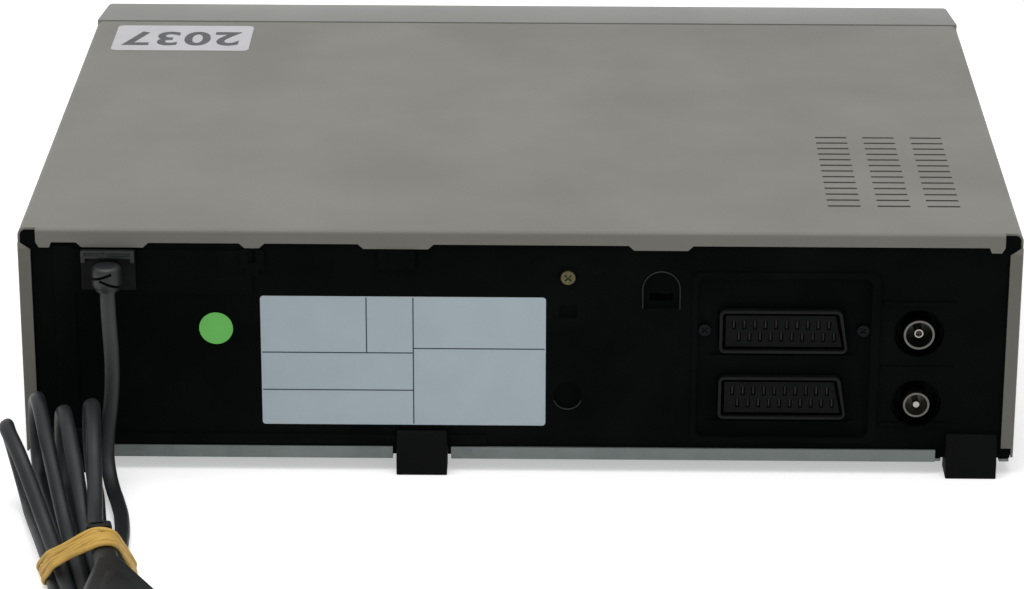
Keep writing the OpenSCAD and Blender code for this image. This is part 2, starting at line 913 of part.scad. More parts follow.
module modulator_can() {
    wall_y = panel_in_y - seam;
    color("#9da3a5")
        difference() {
            span([aerial_x - 16, wall_y - 42, main_z + board_t],
                [aerial_x + 13, wall_y, z_base + 64]);
            for (z = [aerial_high_z, aerial_low_z])
                rod_y(aerial_x, z, aerial_recess_r, wall_y - 6, wall_y + 1);
        }
}

module aerial_sleeves() {
    wall_y = panel_in_y - seam - 6;
    color("#a6a7a3") {
        // female: the plug's shell goes inside
        difference() {
            rod_y(aerial_x, aerial_high_z, aerial_r + 0.8, wall_y, panel_y + 1.5);
            rod_y(aerial_x, aerial_high_z, aerial_r + 0.05, wall_y + 1, panel_y + 3);
        }
        // male: this shell goes inside the socket
        difference() {
            rod_y(aerial_x, aerial_low_z, aerial_r, wall_y, panel_y + 1.5);
            rod_y(aerial_x, aerial_low_z, aerial_r - 0.7, wall_y + 1, panel_y + 3);
        }
    }
}

module aerial_contacts() {
    start_y = panel_in_y - seam - 5;
    color("#c9b98a") {
        difference() {
            rod_y(aerial_x, aerial_high_z, aerial_bore_r + 0.4, start_y, panel_y);
            rod_y(aerial_x, aerial_high_z, aerial_bore_r, start_y + 1.5, panel_y + 1);
        }
        rod_y(aerial_x, aerial_low_z, 1.15, start_y, panel_y + 1);
    }
}

module strain_relief() {
    exit = LEAD_POINTS[0];
    color("#202324") {
        // clip in the panel's opening, with its rim outside
        slab(panel_in_y - 2, panel_y)
            translate([relief_x, relief_z])
                square([relief_box[0] - 3.4, relief_box[1] - 3.4], center = true);
        slab(panel_y + 0.7, panel_y + 2.4)
            translate([relief_x, relief_z])
                round_rect(relief_box[0], relief_box[1], 1);
        slab(panel_y, panel_y + 0.7)
            translate([relief_x, relief_z])
                square([relief_box[0] - 3.4, relief_box[1] - 3.4], center = true);
        slab(panel_y + 2.4, panel_y + 3.6)
            translate([relief_x, relief_z + relief_box[1] / 2 - 2])
                round_rect(relief_box[0], 4, 1);
        // moulded elbow that turns the lead down
        translate([exit[0], exit[1], exit[2]])
            cylinder(h = 1.6, r = 4.6);
        translate([exit[0], exit[1], exit[2] + 1.6])
            cylinder(h = 4, r = 5.4);
        rod_y(exit[0], exit[2] + 5.6, 5.4, panel_y + 2.4, exit[1]);
        translate([exit[0], exit[1], exit[2] + 5.6])
            sphere(5.4);
    }
}

// ================================================================ mains lead

function unit(v) = v / norm(v);
function flat_out(n, t) = unit(n - t * (n * t));
function ease(t) = 0.5 - 0.5 * cos(180 * min(1, abs(t)));

// direction of the path at each point
function path_dirs(pts) = [for (i = [0 : len(pts) - 1])
    unit(pts[min(i + 1, len(pts) - 1)] - pts[max(i - 1, 0)])];

// cross direction that turns as little as it can from point to point
function path_normals(dirs, first) = [for (i = 0, n = flat_out(first, dirs[0]); i < len(dirs);
    i = i + 1, n = i < len(dirs) ? flat_out(n, dirs[i]) : n) n];

function tube_points(pts, first, r, sides) =
    let (dirs = path_dirs(pts), normals = path_normals(dirs, first))
    [for (i = [0 : len(pts) - 1], k = [0 : sides - 1])
        let (a = 360 * k / sides, n = normals[i], b = cross(dirs[i], n))
        pts[i] + r * (cos(a) * n + sin(a) * b)];

function tube_faces(count, sides) = concat(
    [for (k = [1 : sides - 2]) [0, k + 1, k]],
    [for (k = [1 : sides - 2]) let (e = (count - 1) * sides) [e, e + k, e + k + 1]],
    [for (i = [0 : count - 2], k = [0 : sides - 1])
        let (a = i * sides + k, b = i * sides + (k + 1) % sides) [a, b, b + sides]],
    [for (i = [0 : count - 2], k = [0 : sides - 1])
        let (a = i * sides + k, b = i * sides + (k + 1) % sides) [a, b + sides, a + sides]]);

module tube(pts, first, r, sides) {
    polyhedron(points = tube_points(pts, first, r, sides), faces = tube_faces(len(pts), sides));
}

// hank frame: u runs along the hank to the panel, w across it, v up the loop
hank_u = [sin(hank_turn), -cos(hank_turn), 0];
hank_w = [cos(hank_turn), sin(hank_turn), 0];
last_column = hank_loops - 1;
// share of the way from the flat part to the near ends
function near_share(u) = max(0, -u - near_flat) / (near_run - near_flat);
function far_w(c) = lookup(c, [for (i = [0 : last_column]) [i, far_ws[i]]]);
function far_share(u, n) = max(0, u) / far_runs[n];
// c counts columns from the outer side, and n is the loop's number
function column_w(u, c, n) = u > 0
    ? (hank_loops / 2 - c) * waist_pitch * (1 - ease(far_share(u, n))) + far_w(c) * ease(far_share(u, n))
    : (hank_loops / 2 - c) * (waist_pitch + (end_pitch - waist_pitch) * ease(near_share(u)));
function hank_place(u, w, v, a) = [hank_centre[0], hank_centre[1], hank_z]
    + u * hank_u + (w + v * sin(a)) * hank_w + [0, 0, v * cos(a)];
function loop_point(u, c, v, n) =
    hank_place(u, column_w(u, c, n), v, n == 0 ? lean * ease(far_share(u, n)) : 0);
function top_v(u, n) = waist_rise
    + (2 * hank_r - waist_rise) * ease(u > 0 ? far_share(u, n) : near_share(u));
function crossed(u) = ease(max(0, cross_u - u) / (cross_u + near_run));

// the lead's own run beside the loops, then a flat turn to the far side
near_u = -near_run - hank_r - 10;
flat_r = hank_loops / 2 * end_pitch;
lead_start = LEAD_POINTS[len(LEAD_POINTS) - 1] - [hank_centre[0], hank_centre[1], 0];
lead_start_u = lead_start * hank_u;
lead_start_w = lead_start * hank_w;
lead_waist_w = column_w(0, hank_loops, last_column);
function lead_w(u) = u > 0
    ? lead_waist_w + (lead_start_w - lead_waist_w) * ease(u / (lead_start_u - 6))
    : column_w(u, hank_loops, last_column);
flat_stops = [lead_start_u, lead_start_u - 6, 26, 12, 0, -near_flat, -near_mid, -near_run, -near_run - 13];
flat_run = [for (u = flat_stops) hank_place(u, lead_w(u), 0, 0)];
flat_turn = [for (k = [0 : 12]) let (a = 180 * k / 12)
    hank_place(near_u - flat_r * sin(a), -flat_r * cos(a), 0, 0)];
function far_turn(c) = [for (k = [0 : turn_steps]) let (a = 180 * k / turn_steps)
    loop_point(far_runs[c] + hank_r * sin(a), c, hank_r - hank_r * cos(a), c)];
function near_turn(c) = [for (k = [0 : turn_steps]) let (a = 180 * k / turn_steps)
    loop_point(-near_run - hank_r * sin(a), c, hank_r + hank_r * cos(a), c)];
function low_run(c) = [for (u = low_stops) loop_point(u, c, 0, c)];
// a top run crosses to the next column on its way
function top_run(c) = [for (u = top_stops) loop_point(u, c + crossed(u), top_v(u, c), c)];
// the last run comes down onto the plug, on top of the others
plug_w = column_w(0, last_column, last_column) + plug_shift;
plug_at = hank_place(neck_u, plug_w, plug_z - hank_z, 0);
last_from = far_runs[last_column];
last_run = [for (k = [1 : 5]) let (t = k / 6, u = last_from + (neck_u + 9 - last_from) * t)
    hank_place(u, far_w(last_column) * (1 - t) + plug_w * t,
        2 * hank_r * (1 - ease(t)) + (plug_z - hank_z) * ease(t), 0)];
plug_lead = [for (u = [neck_u + 9, neck_u + 5.5, neck_u]) hank_place(u, plug_w, plug_z - hank_z, 0)];
function loops(c) = c > last_column ? [] : concat(
    c == 0 ? [loop_point(-near_run, 0, 0, 0)] : [], low_run(c), far_turn(c),
    c < last_column ? concat(top_run(c), near_turn(c + 1)) : [], loops(c + 1));
HANK_POINTS = concat(flat_run, flat_turn, loops(0), last_run, plug_lead);

// least distance between stretches of the hank that aren't neighbours
function piece_gap(p, a, b) = let (d = b - a, t = max(0, min(1, (p - a) * d / (d * d)))) norm(p - a - t * d);
function arc_to(pts, i) = i == 0 ? 0 : arc_to(pts, i - 1) + norm(pts[i] - pts[i - 1]);
function total_len(pts) = arc_to(pts, len(pts) - 1);
arcs = [for (i = 0, s = 0; i < len(HANK_POINTS); s = i + 1 < len(HANK_POINTS)
    ? s + norm(HANK_POINTS[i + 1] - HANK_POINTS[i]) : s, i = i + 1) s];
least_gap = min([for (i = [0 : len(HANK_POINTS) - 1], j = [0 : len(HANK_POINTS) - 2])
    if (abs(arcs[i] - arcs[j]) > 30 && abs(arcs[i] - arcs[j + 1]) > 30)
        piece_gap(HANK_POINTS[i], HANK_POINTS[j], HANK_POINTS[j + 1])]) - lead_d;
echo(least_gap_of_the_hank = least_gap);
echo(lead_length = total_len(LEAD_POINTS) + total_len(HANK_POINTS));

module mains_cord() {
    color("#2b2e31")
        tube(LEAD_POINTS, [1, 0, 0], lead_r, lead_sides);
}

module cord_hank() {
    color("#2b2e31")
        tube(HANK_POINTS, [0, 0, 1], lead_r, hank_sides);
}

// frame of the plug: x along it away from its lead
module at_plug() {
    translate(plug_at)
        rotate([0, 0, 90 + hank_turn])
            children();
}

module mains_plug() {
    body_half = plug_w_max / 2;
    color("#26292b")
        at_plug() {
            rotate([90, 0, 90])
                linear_extrude(height = collar_len)
                    round_rect(2 * neck_r, 2 * neck_r, 1);
            rotate([0, 90, 0])
                cylinder(h = neck_len + 1, r = neck_r);
            // six-sided body, cut to its widening outline
            intersection() {
                rotate([90, 0, 90])
                    linear_extrude(height = plug_len)
                        polygon([[-body_half, 0], [-plug_flat_w / 2, -plug_h / 2], [plug_flat_w / 2, -plug_h / 2],
                            [body_half, 0], [plug_flat_w / 2, plug_h / 2], [-plug_flat_w / 2, plug_h / 2]]);
                translate([0, 0, -plug_h])
                    linear_extrude(height = 2 * plug_h)
                        polygon([[neck_len, -neck_r], [flare_end, -body_half], [plug_len, -body_half],
                            [plug_len, body_half], [flare_end, body_half], [neck_len, neck_r]]);
                translate([0, plug_w_max, 0])
                    rotate([90, 0, 0])
                        linear_extrude(height = 2 * plug_w_max)
                            polygon([[neck_len, -neck_r], [flare_end, -plug_h / 2], [plug_len, -plug_h / 2],
                                [plug_len, plug_h / 2], [flare_end, plug_h / 2], [neck_len, neck_r]]);
            }
        }
}

module plug_pins() {
    color("#b8b7b0")
        at_plug()
            for (side = [-1, 1])
                translate([plug_len, side * plug_pin_half, 0])
                    rotate([0, 90, 0])
                        cylinder(h = plug_pin_len, r = plug_pin_r);
}

// outline drawn tight round the runs at the waist and the plug's neck
module band_outline(grow) {
    far_face = band_u + band_y / 2;
    hull() {
        for (c = [0, hank_loops])
            translate([column_w(far_face, c, 0), hank_z])
                circle(lead_r + grow, $fn = 24);
        translate([column_w(far_face, crossed(far_face), 0), hank_z + top_v(far_face, 0)])
            circle(lead_r + grow, $fn = 24);
        translate([plug_w, plug_z])
            circle(neck_r + grow, $fn = 24);
    }
}

module cord_band() {
    gap = 0.4;
    reach = (hank_loops + 2) * end_pitch;
    color("#c9a04a")
        translate([hank_centre[0], hank_centre[1], 0])
            rotate([0, 0, hank_turn])
                slab(-band_u - band_y / 2, -band_u + band_y / 2)
                    difference() {
                        band_outline(gap + band_wall);
                        band_outline(gap);
                        translate([-reach, -10])
                            square([2 * reach, 10]);
                    }
}

// ================================================================ boards

module main_board() {
    edge = wall_in - 9;
    right = power_x0 - 4;
    color("#6f5426")
        difference() {
            union() {
                span([-edge, deck_front - 6, main_z], [right, panel_in_y - 6, main_z + board_t]);
                // shielded tuner, chips and plugs beside the deck
                span([-edge + 6, deck_y0 - 60, main_z + board_t], [-edge + 46, deck_y0 - 20, main_z + 14]);
                span([-edge + 10, deck_y0, main_z + board_t], [-edge + 40, deck_y0 + 20, main_z + 5]);
                span([20, deck_back + 2, main_z + board_t], [60, deck_back + 9, main_z + 12]);
            }
            for (x = deck_post_xs, y = deck_post_ys)
                rod_z([x, y], 4.6, main_z - 1, main_z + 3);
        }
}

module power_board() {
    top = power_z + board_t;
    color("#8a6a34") {
        span([power_x0, power_y0, power_z], [power_x1, power_y1, top]);
        // capacitors and the fins of the heat sink
        for (i = [0 : 2])
            rod_z([power_x0 + 12 + i * 20, power_y0 + 14], 8, top, top + 26);
        rod_z([power_x0 + 10, power_y0 + 34], 6, top, top + 18);
        for (x = [power_x0 + 24 : 5 : power_x0 + 54])
            span([x, power_y1 - 20, top], [x + 1.6, power_y1 - 6, top + 30]);
    }
}

module transformer() {
    top = power_z + board_t;
    mid = [(power_x0 + power_x1) / 2 + 5.5, power_y0 + 48];
    color("#c79b4b")
        span([mid[0] - 12, mid[1] - 17, top], [mid[0] + 12, mid[1] + 17, top + 30]);
    color("#4a4d50")
        difference() {
            span([mid[0] - 21, mid[1] - 11, top], [mid[0] + 21, mid[1] + 11, top + 34]);
            span([mid[0] - 12, mid[1] - 12, top - 1], [mid[0] + 12, mid[1] + 12, top + 30]);
        }
}

// ================================================================ tape deck

function guide_x(side, at) = drum_at[0] + side * at[0];

module guide_slot(side) {
    a = [guide_x(side, guide_start), guide_start[1]];
    b = [guide_x(side, guide_end), guide_end[1]];
    turn = atan2(b[1] - a[1], b[0] - a[0]);
    translate([a[0], a[1], deck_z - 1])
        rotate([0, 0, turn]) {
            translate([0, -guide_slot_w / 2, 0])
                cube([norm(b - a), guide_slot_w, deck_t + 2]);
            cylinder(h = deck_t + 2, r = guide_slot_w / 2);
            translate([norm(b - a), 0, 0])
                cylinder(h = deck_t + 2, r = guide_slot_w / 2);
        }
}

module deck_plate() {
    color("#9aa0a2") {
        difference() {
            span([-deck_half, deck_front, deck_z], [deck_half, deck_back, deck_top]);
            for (side = [-1, 1])
                guide_slot(side);
            rod_z(capstan_at, 3.4, deck_z - 1, deck_top + 1);
            rod_z(pinion_at, 3, deck_z - 1, deck_top + 1);
        }
        // capstan bearing
        difference() {
            union() {
                rod_z(capstan_at, 3.4, deck_z, deck_top);
                rod_z(capstan_at, 4.5, deck_top, deck_top + 8);
            }
            rod_z(capstan_at, shaft_r + run_gap, deck_z - 1, deck_top + 9);
        }
        // pins that carry the reels, arms and gears
        for (side = [-1, 1])
            rod_z([side * reel_pitch / 2, reel_y], pin_r, deck_top, deck_top + 12);
        rod_z(idler_at, pin_r, deck_top, deck_top + 8);
        rod_z(pinch_pivot, pin_r, deck_top, deck_top + 12);
        rod_z(tension_at, pin_r, deck_top, deck_top + 6);
        rod_z(cam_at, pin_r, deck_top, deck_top + 7);
        // brackets of the two fixed heads
        span([51, capstan_at[1] + 13, deck_top], [61, capstan_at[1] + 23, deck_top + 4]);
        span([-64, deck_y0 + 44, deck_top], [-56, deck_y0 + 54, deck_top + 4]);
    }
}

module tape_heads() {
    color("#3a3d40") {
        span([52, capstan_at[1] + 14, deck_top + 4], [60, capstan_at[1] + 22, deck_top + 24]);
        span([-63, deck_y0 + 45, deck_top + 4], [-57, deck_y0 + 53, deck_top + 22]);
    }
}

module tray_rails() {
    color("#a4a9ab")
        for (side = [-1, 1])
            difference() {
                span([min(side * rail_in, side * (rail_in + rail_t)), tray_front - 1, deck_top],
                    [max(side * rail_in, side * (rail_in + rail_t)),
                        tray_front + tray_d + tray_travel + 8, rail_top]);
                for (y = [tray_front + 14, tray_front + 60])
                    span([side * rail_in - 5, y - 2.2, track_z - 2.2],
                        [side * rail_in + 5, y + tray_travel + 2.2, track_z + 2.2]);
            }
}

module tray_slider() {
    shaft_y = tray_front + tray_d - 4;
    shaft_z = tray_z + tray_h + 3.4;
    color("#7d8386") {
        for (side = [-1, 1]) {
            difference() {
                span([min(side * slider_in, side * (slider_in + slider_t)), tray_front + 4, tray_z + 1],
                    [max(side * slider_in, side * (slider_in + slider_t)), tray_front + tray_d, shaft_z + 2]);
                for (y = [tray_front + 24, tray_front + 52])
                    span([side * slider_in - 3, y - 1.7, tray_z + 3.5],
                        [side * slider_in + 3, y + 1.7, tray_z + 6.9 + tray_drop]);
            }
            for (y = [tray_front + 14, tray_front + 60])
                rod_x(y, track_z, 2, min(side * (slider_in + slider_t), side * (rail_in + rail_t)),
                    max(side * (slider_in + slider_t), side * (rail_in + rail_t)));
        }
        rod_x(shaft_y, shaft_z, 1.5, -slider_in, slider_in);
    }
}

module cassette_tray() {
    lip = 8;
    pin_z = tray_z + 5.2 + tray_drop;
    color("#b0b4b5") {
        difference() {
            span([-tray_in - tray_t, tray_front, tray_z],
                [tray_in + tray_t, tray_front + tray_d, tray_z + tray_h]);
            span([-tray_in, tray_front - 1, tray_z + 1],
                [tray_in, tray_front + tray_d + 1, tray_z + tray_h - 1]);
            span([-tray_in + lip, tray_front - 1, tray_z - 1],
                [tray_in - lip, tray_front + tray_d + 1, tray_z + 2]);
            for (side = [-1, 1])
                span([side * 48 - 26, tray_front + 16, tray_z + tray_h - 2],
                    [side * 48 + 26, tray_front + tray_d - 16, tray_z + tray_h + 1]);
        }
        for (side = [-1, 1], y = [tray_front + 24, tray_front + 52])
            rod_x(y, pin_z, 1.5, min(side * (tray_in + tray_t), side * (slider_in + slider_t)),
                max(side * (tray_in + tray_t), side * (slider_in + slider_t)));
    }
}

module lower_drum() {
    color("#b7bbbd")
        difference() {
            union() {
                rod_z(drum_at, drum_r + 3, deck_top, deck_top + 2);
                rod_z(drum_at, drum_r, deck_top + 2, deck_top + 15);
            }
            rod_z(drum_at, shaft_r + run_gap, deck_top + 3, deck_top + 16);
        }
}

module upper_drum() {
    color("#c8cccd")
        difference() {
            union() {
                rod_z(drum_at, drum_r, deck_top + 15.3, deck_top + 27);
                rod_z(drum_at, shaft_r, deck_top + 3.3, deck_top + 15.3);
                rod_z(drum_at, 7, deck_top + 27, deck_top + 30);
            }
            for (turn = [0, 180])
                translate([drum_at[0], drum_at[1], 0])
                    rotate([0, 0, turn])
                        translate([drum_r - 2.5, -2, deck_top + 15])
                            cube([4, 4, 1.5]);
        }
}

module capstan() {
    color("#8b9093") {
        rod_z(capstan_at, shaft_r, deck_z - 12, deck_top + 27);
        rod_z(capstan_at, 22, deck_z - 9, deck_z - 4);
    }
}

module deck_motors() {
    motor_h = 15.4;
    color("#5c6163") {
        // stator of the capstan motor hung under the deck on three columns
        difference() {
            rod_z(capstan_at, 27, deck_z - 14, deck_z - 9.5);
            rod_z(capstan_at, shaft_r + run_gap, deck_z - 12.5, deck_z - 9);
        }
        for (turn = [-10, 110, 230])
            rod_z(capstan_at + 25 * [cos(turn), sin(turn)], 1.8, deck_z - 9.5, deck_z);
        difference() {
            rod_z(pinion_at, 10, deck_z - motor_h, deck_z);
            rod_z(pinion_at, 1 + run_gap, deck_z - 8, deck_z + 1);
        }
    }
}

module reel(side) {
    at = [side * reel_pitch / 2, reel_y];
    color("#e2e0d8")
        difference() {
            union() {
                rod_z(at, reel_r, deck_top + 0.8, deck_top + 3.8);
                rod_z(at, 9, deck_top + 3.8, deck_top + 8);
                rod_z(at, 4, deck_top + 8, deck_top + 17);
                for (turn = [0, 120, 240])
                    translate([at[0], at[1], deck_top + 8])
                        rotate([0, 0, turn])
                            translate([0, -0.8, 0])
                                cube([6, 1.6, 7]);
            }
            rod_z(at, pin_r + run_gap, deck_top, deck_top + 12.5);
        }
}

module supply_reel() { reel(-1); }
module takeup_reel() { reel(1); }

module idler_arm() {
    wheel = [idler_at[0], idler_at[1] - idler_len];
    color("#d8d6cc")
        difference() {
            union() {
                span([idler_at[0] - 4, wheel[1], deck_top + 5], [idler_at[0] + 4, idler_at[1], deck_top + 7]);
                rod_z(idler_at, 4, deck_top + 5, deck_top + 7);
                rod_z(wheel, 4, deck_top + 5, deck_top + 7);
                rod_z(wheel, pin_r, deck_top + 1.2, deck_top + 5);
            }
            rod_z(idler_at, pin_r + run_gap, deck_top + 4, deck_top + 9);
        }
}

module idler_wheel() {
    wheel = [idler_at[0], idler_at[1] - idler_len];
    color("#33332f")
        difference() {
            rod_z(wheel, idler_r, deck_top + 1.2, deck_top + 4.4);
            rod_z(wheel, pin_r + run_gap, deck_top, deck_top + 5);
        }
}

pinch_at = pinch_pivot + pinch_len * [cos(pinch_rest), sin(pinch_rest)];

module pinch_arm() {
    color("#a9adb0")
        difference() {
            union() {
                rod_z(pinch_pivot, 4, deck_top + 6, deck_top + 8);
                rod_z(pinch_at, 4, deck_top + 6, deck_top + 8);
                translate([pinch_pivot[0], pinch_pivot[1], deck_top + 6])
                    rotate([0, 0, pinch_rest])
                        translate([0, -3, 0])
                            cube([pinch_len, 6, 2]);
                rod_z(pinch_at, pin_r, deck_top + 8, deck_top + 25);
            }
            rod_z(pinch_pivot, pin_r + run_gap, deck_top + 5, deck_top + 9);
        }
}

module pinch_roller() {
    color("#2b2a28")
        difference() {
            rod_z(pinch_at, pinch_r, deck_top + 8.4, deck_top + 24);
            rod_z(pinch_at, pin_r + run_gap, deck_top + 8, deck_top + 25);
        }
}

module tension_arm() {
    reach = tension_pole - tension_at;
    turn = atan2(reach[1], reach[0]);
    color("#b4b8ba")
        difference() {
            union() {
                rod_z(tension_at, 4, deck_top + 3, deck_top + 5);
                translate([tension_at[0], tension_at[1], deck_top + 3])
                    rotate([0, 0, turn])
                        translate([0, -2.5, 0])
                            cube([norm(reach), 5, 2]);
                rod_z(tension_pole, 1.5, deck_top + 3, deck_top + 25);
                rod_z(tension_pole, 2.5, deck_top + 3, deck_top + 5);
            }
            rod_z(tension_at, pin_r + run_gap, deck_top + 2, deck_top + 6);
        }
}

module tape_guide(side) {
    at = [guide_x(side, guide_start), guide_start[1]];
    color("#c3c7c9") {
        rod_z(at, 5.6, deck_top + 0.2, deck_top + 4);
        rod_z(at, guide_slot_w / 2 - 0.1, deck_z - 0.4, deck_top + 0.2);
        rod_z(at, 4, deck_z - 2, deck_z - 0.4);
        rod_z(at, 1.8, deck_top + 4, deck_top + 26);
        rod_z(at, 3, deck_top + 7, deck_top + 22);
    }
}

module supply_guide() { tape_guide(-1); }
module takeup_guide() { tape_guide(1); }

module cam_gear() {
    color("#e6e3d6")
        difference() {
            translate([cam_at[0], cam_at[1], deck_top + 0.8])
                rotate([0, 0, pinion_dir])
                    gear(cam_teeth, gear_m, 4);
            rod_z(cam_at, pin_r + run_gap, deck_top, deck_top + 8);
        }
}

module motor_pinion() {
    color("#d9c79a") {
        translate([pinion_at[0], pinion_at[1], deck_top + 1.2])
            rotate([0, 0, pinion_dir + 180 + 180 / pinion_teeth])
                gear(pinion_teeth, gear_m, 3.6);
        rod_z(pinion_at, 1, deck_z - 7, deck_top + 1.2);
    }
}

top_cover();
chassis_frame();
rear_panel();
bottom_plate();
feet();
screws();
front_fascia();
display_window();
cassette_flap();
power_button();
eject_button();
play_button();
stop_button();
rewind_button();
forward_button();
record_button();
pause_button();
channel_up_button();
channel_down_button();
front_board();
display_tube();
rating_label();
round_sticker();
number_sticker();
upper_scart();
lower_scart();
scart_inserts();
scart_contacts();
modulator_can();
aerial_sleeves();
aerial_contacts();
strain_relief();
mains_cord();
cord_hank();
mains_plug();
plug_pins();
cord_band();
main_board();
power_board();
transformer();
deck_plate();
tray_rails();
lower_drum();
upper_drum();
capstan();
deck_motors();
tape_heads();
supply_reel();
takeup_reel();
idler_arm();
idler_wheel();
pinch_arm();
pinch_roller();
tension_arm();
supply_guide();
takeup_guide();
cam_gear();
motor_pinion();
tray_slider();
cassette_tray();
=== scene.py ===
"""Looks of a video cassette recorder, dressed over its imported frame.

The recorder stands on its feet with the rear panel towards +Y, and its mains lead
lies tied behind it. Sizes here are in millimetres, and ``metres`` turns them into
Blender's units.
"""

import logging
import math
from dataclasses import dataclass
from enum import Enum
from typing import Callable, Iterable, Sequence

import bpy
from mathutils import Matrix, Vector


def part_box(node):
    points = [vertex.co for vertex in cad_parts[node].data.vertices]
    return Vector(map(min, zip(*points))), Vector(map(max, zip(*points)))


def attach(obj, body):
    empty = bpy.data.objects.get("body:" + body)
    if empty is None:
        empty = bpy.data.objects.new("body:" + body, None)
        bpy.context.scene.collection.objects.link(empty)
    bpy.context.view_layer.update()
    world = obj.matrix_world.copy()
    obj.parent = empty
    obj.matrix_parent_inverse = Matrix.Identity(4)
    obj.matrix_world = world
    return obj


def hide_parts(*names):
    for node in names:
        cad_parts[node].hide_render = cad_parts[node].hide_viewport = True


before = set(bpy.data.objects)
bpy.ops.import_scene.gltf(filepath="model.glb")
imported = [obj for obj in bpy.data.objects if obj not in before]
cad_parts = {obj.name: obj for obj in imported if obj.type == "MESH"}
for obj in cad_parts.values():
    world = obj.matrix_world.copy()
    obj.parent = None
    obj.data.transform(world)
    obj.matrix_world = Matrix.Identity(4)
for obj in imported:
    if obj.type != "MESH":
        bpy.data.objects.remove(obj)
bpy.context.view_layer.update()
log = logging.getLogger("recorder")

Point = Sequence[float]
Test = Callable[[Vector, Vector], bool]
Piece = bpy.types.Object
Tree = bpy.types.NodeTree
Socket = bpy.types.NodeSocket

# ------------------------------------------------------------------ units


def metres(*values: float) -> Vector:
    """Turns coordinates in millimetres into the same ones in metres."""
    return Vector([value / 1000 for value in values])


def linear(colour: str) -> tuple[float, float, float, float]:
    """Turns an sRGB hex colour into the linear one that shaders take.

    Args:
        colour: the colour, as "#rrggbb".

    Returns:
        Linear red, green, blue and an alpha of 1.
    """
    parts = [int(colour[i:i + 2], 16) / 255 for i in (1, 3, 5)]
    bent = [p / 12.92 if p <= 0.04045 else ((p + 0.055) / 1.055) ** 2.4 for p in parts]
    return (bent[0], bent[1], bent[2], 1.0)


# --------------------------------------------------------------- finishes


def add(tree: Tree, kind: str, links: dict | None = None, **settings: object) -> bpy.types.Node:
    """Adds one shader node with its settings, numbers and links.

    Args:
        tree: the node tree it goes into.
        kind: the node's type.
        links: a socket to link from, or a number, for each input by name or place.
        settings: the node's own settings.

    Returns:
        The new node.
    """
    node = tree.nodes.new(kind)
    for key, value in settings.items():
        setattr(node, key, value)
    for key, value in (links or {}).items():
        if isinstance(value, bpy.types.NodeSocket):
            tree.links.new(value, node.inputs[key])
        else:
            node.inputs[key].default_value = value
    return node


class Grain(Enum):
    """How the fine relief of a surface is laid out."""

    SPARKED = "pits of a spark-eroded mould"
    SPRAYED = "orange peel of sprayed paint"
    DRAWN = "lines left by rolling, drawing or brushing"
    TURNED = "rings left by a lathe"
    FIBROUS = "short fibres, as in paper"
    CRYSTAL = "flat crystals of a zinc coat"
    PLAIN = "no relief that the eye finds"


# How far roughness strays from its value in broad patches, as a share of it.
ROUGHNESS_SWAY = 0.12
# The part of its range that a noise pattern mostly fills.
NOISE_LOW, NOISE_HIGH = 0.35, 0.65
# Places of a Mix node's share, its two colours and the mixed one among its sockets.
SHARE, FIRST, SECOND, MIXED = 0, 6, 7, 2
# Points closer than this, in metres, are one point.
WELD_M = 1e-6
# Faces of a CAD mesh whose turn is less than this, in degrees, are one flat face.
FLAT_TURN = 0.4


@dataclass(frozen=True)
class Ground:
    """What a finish's colour is laid over.

    Attributes:
        tree: the material's node tree.
        where: the coordinates that patterns are laid on.
        relief: the fine relief.
        cloud: the broad patches.
    """

    tree: Tree
    where: Socket
    relief: Socket
    cloud: Socket


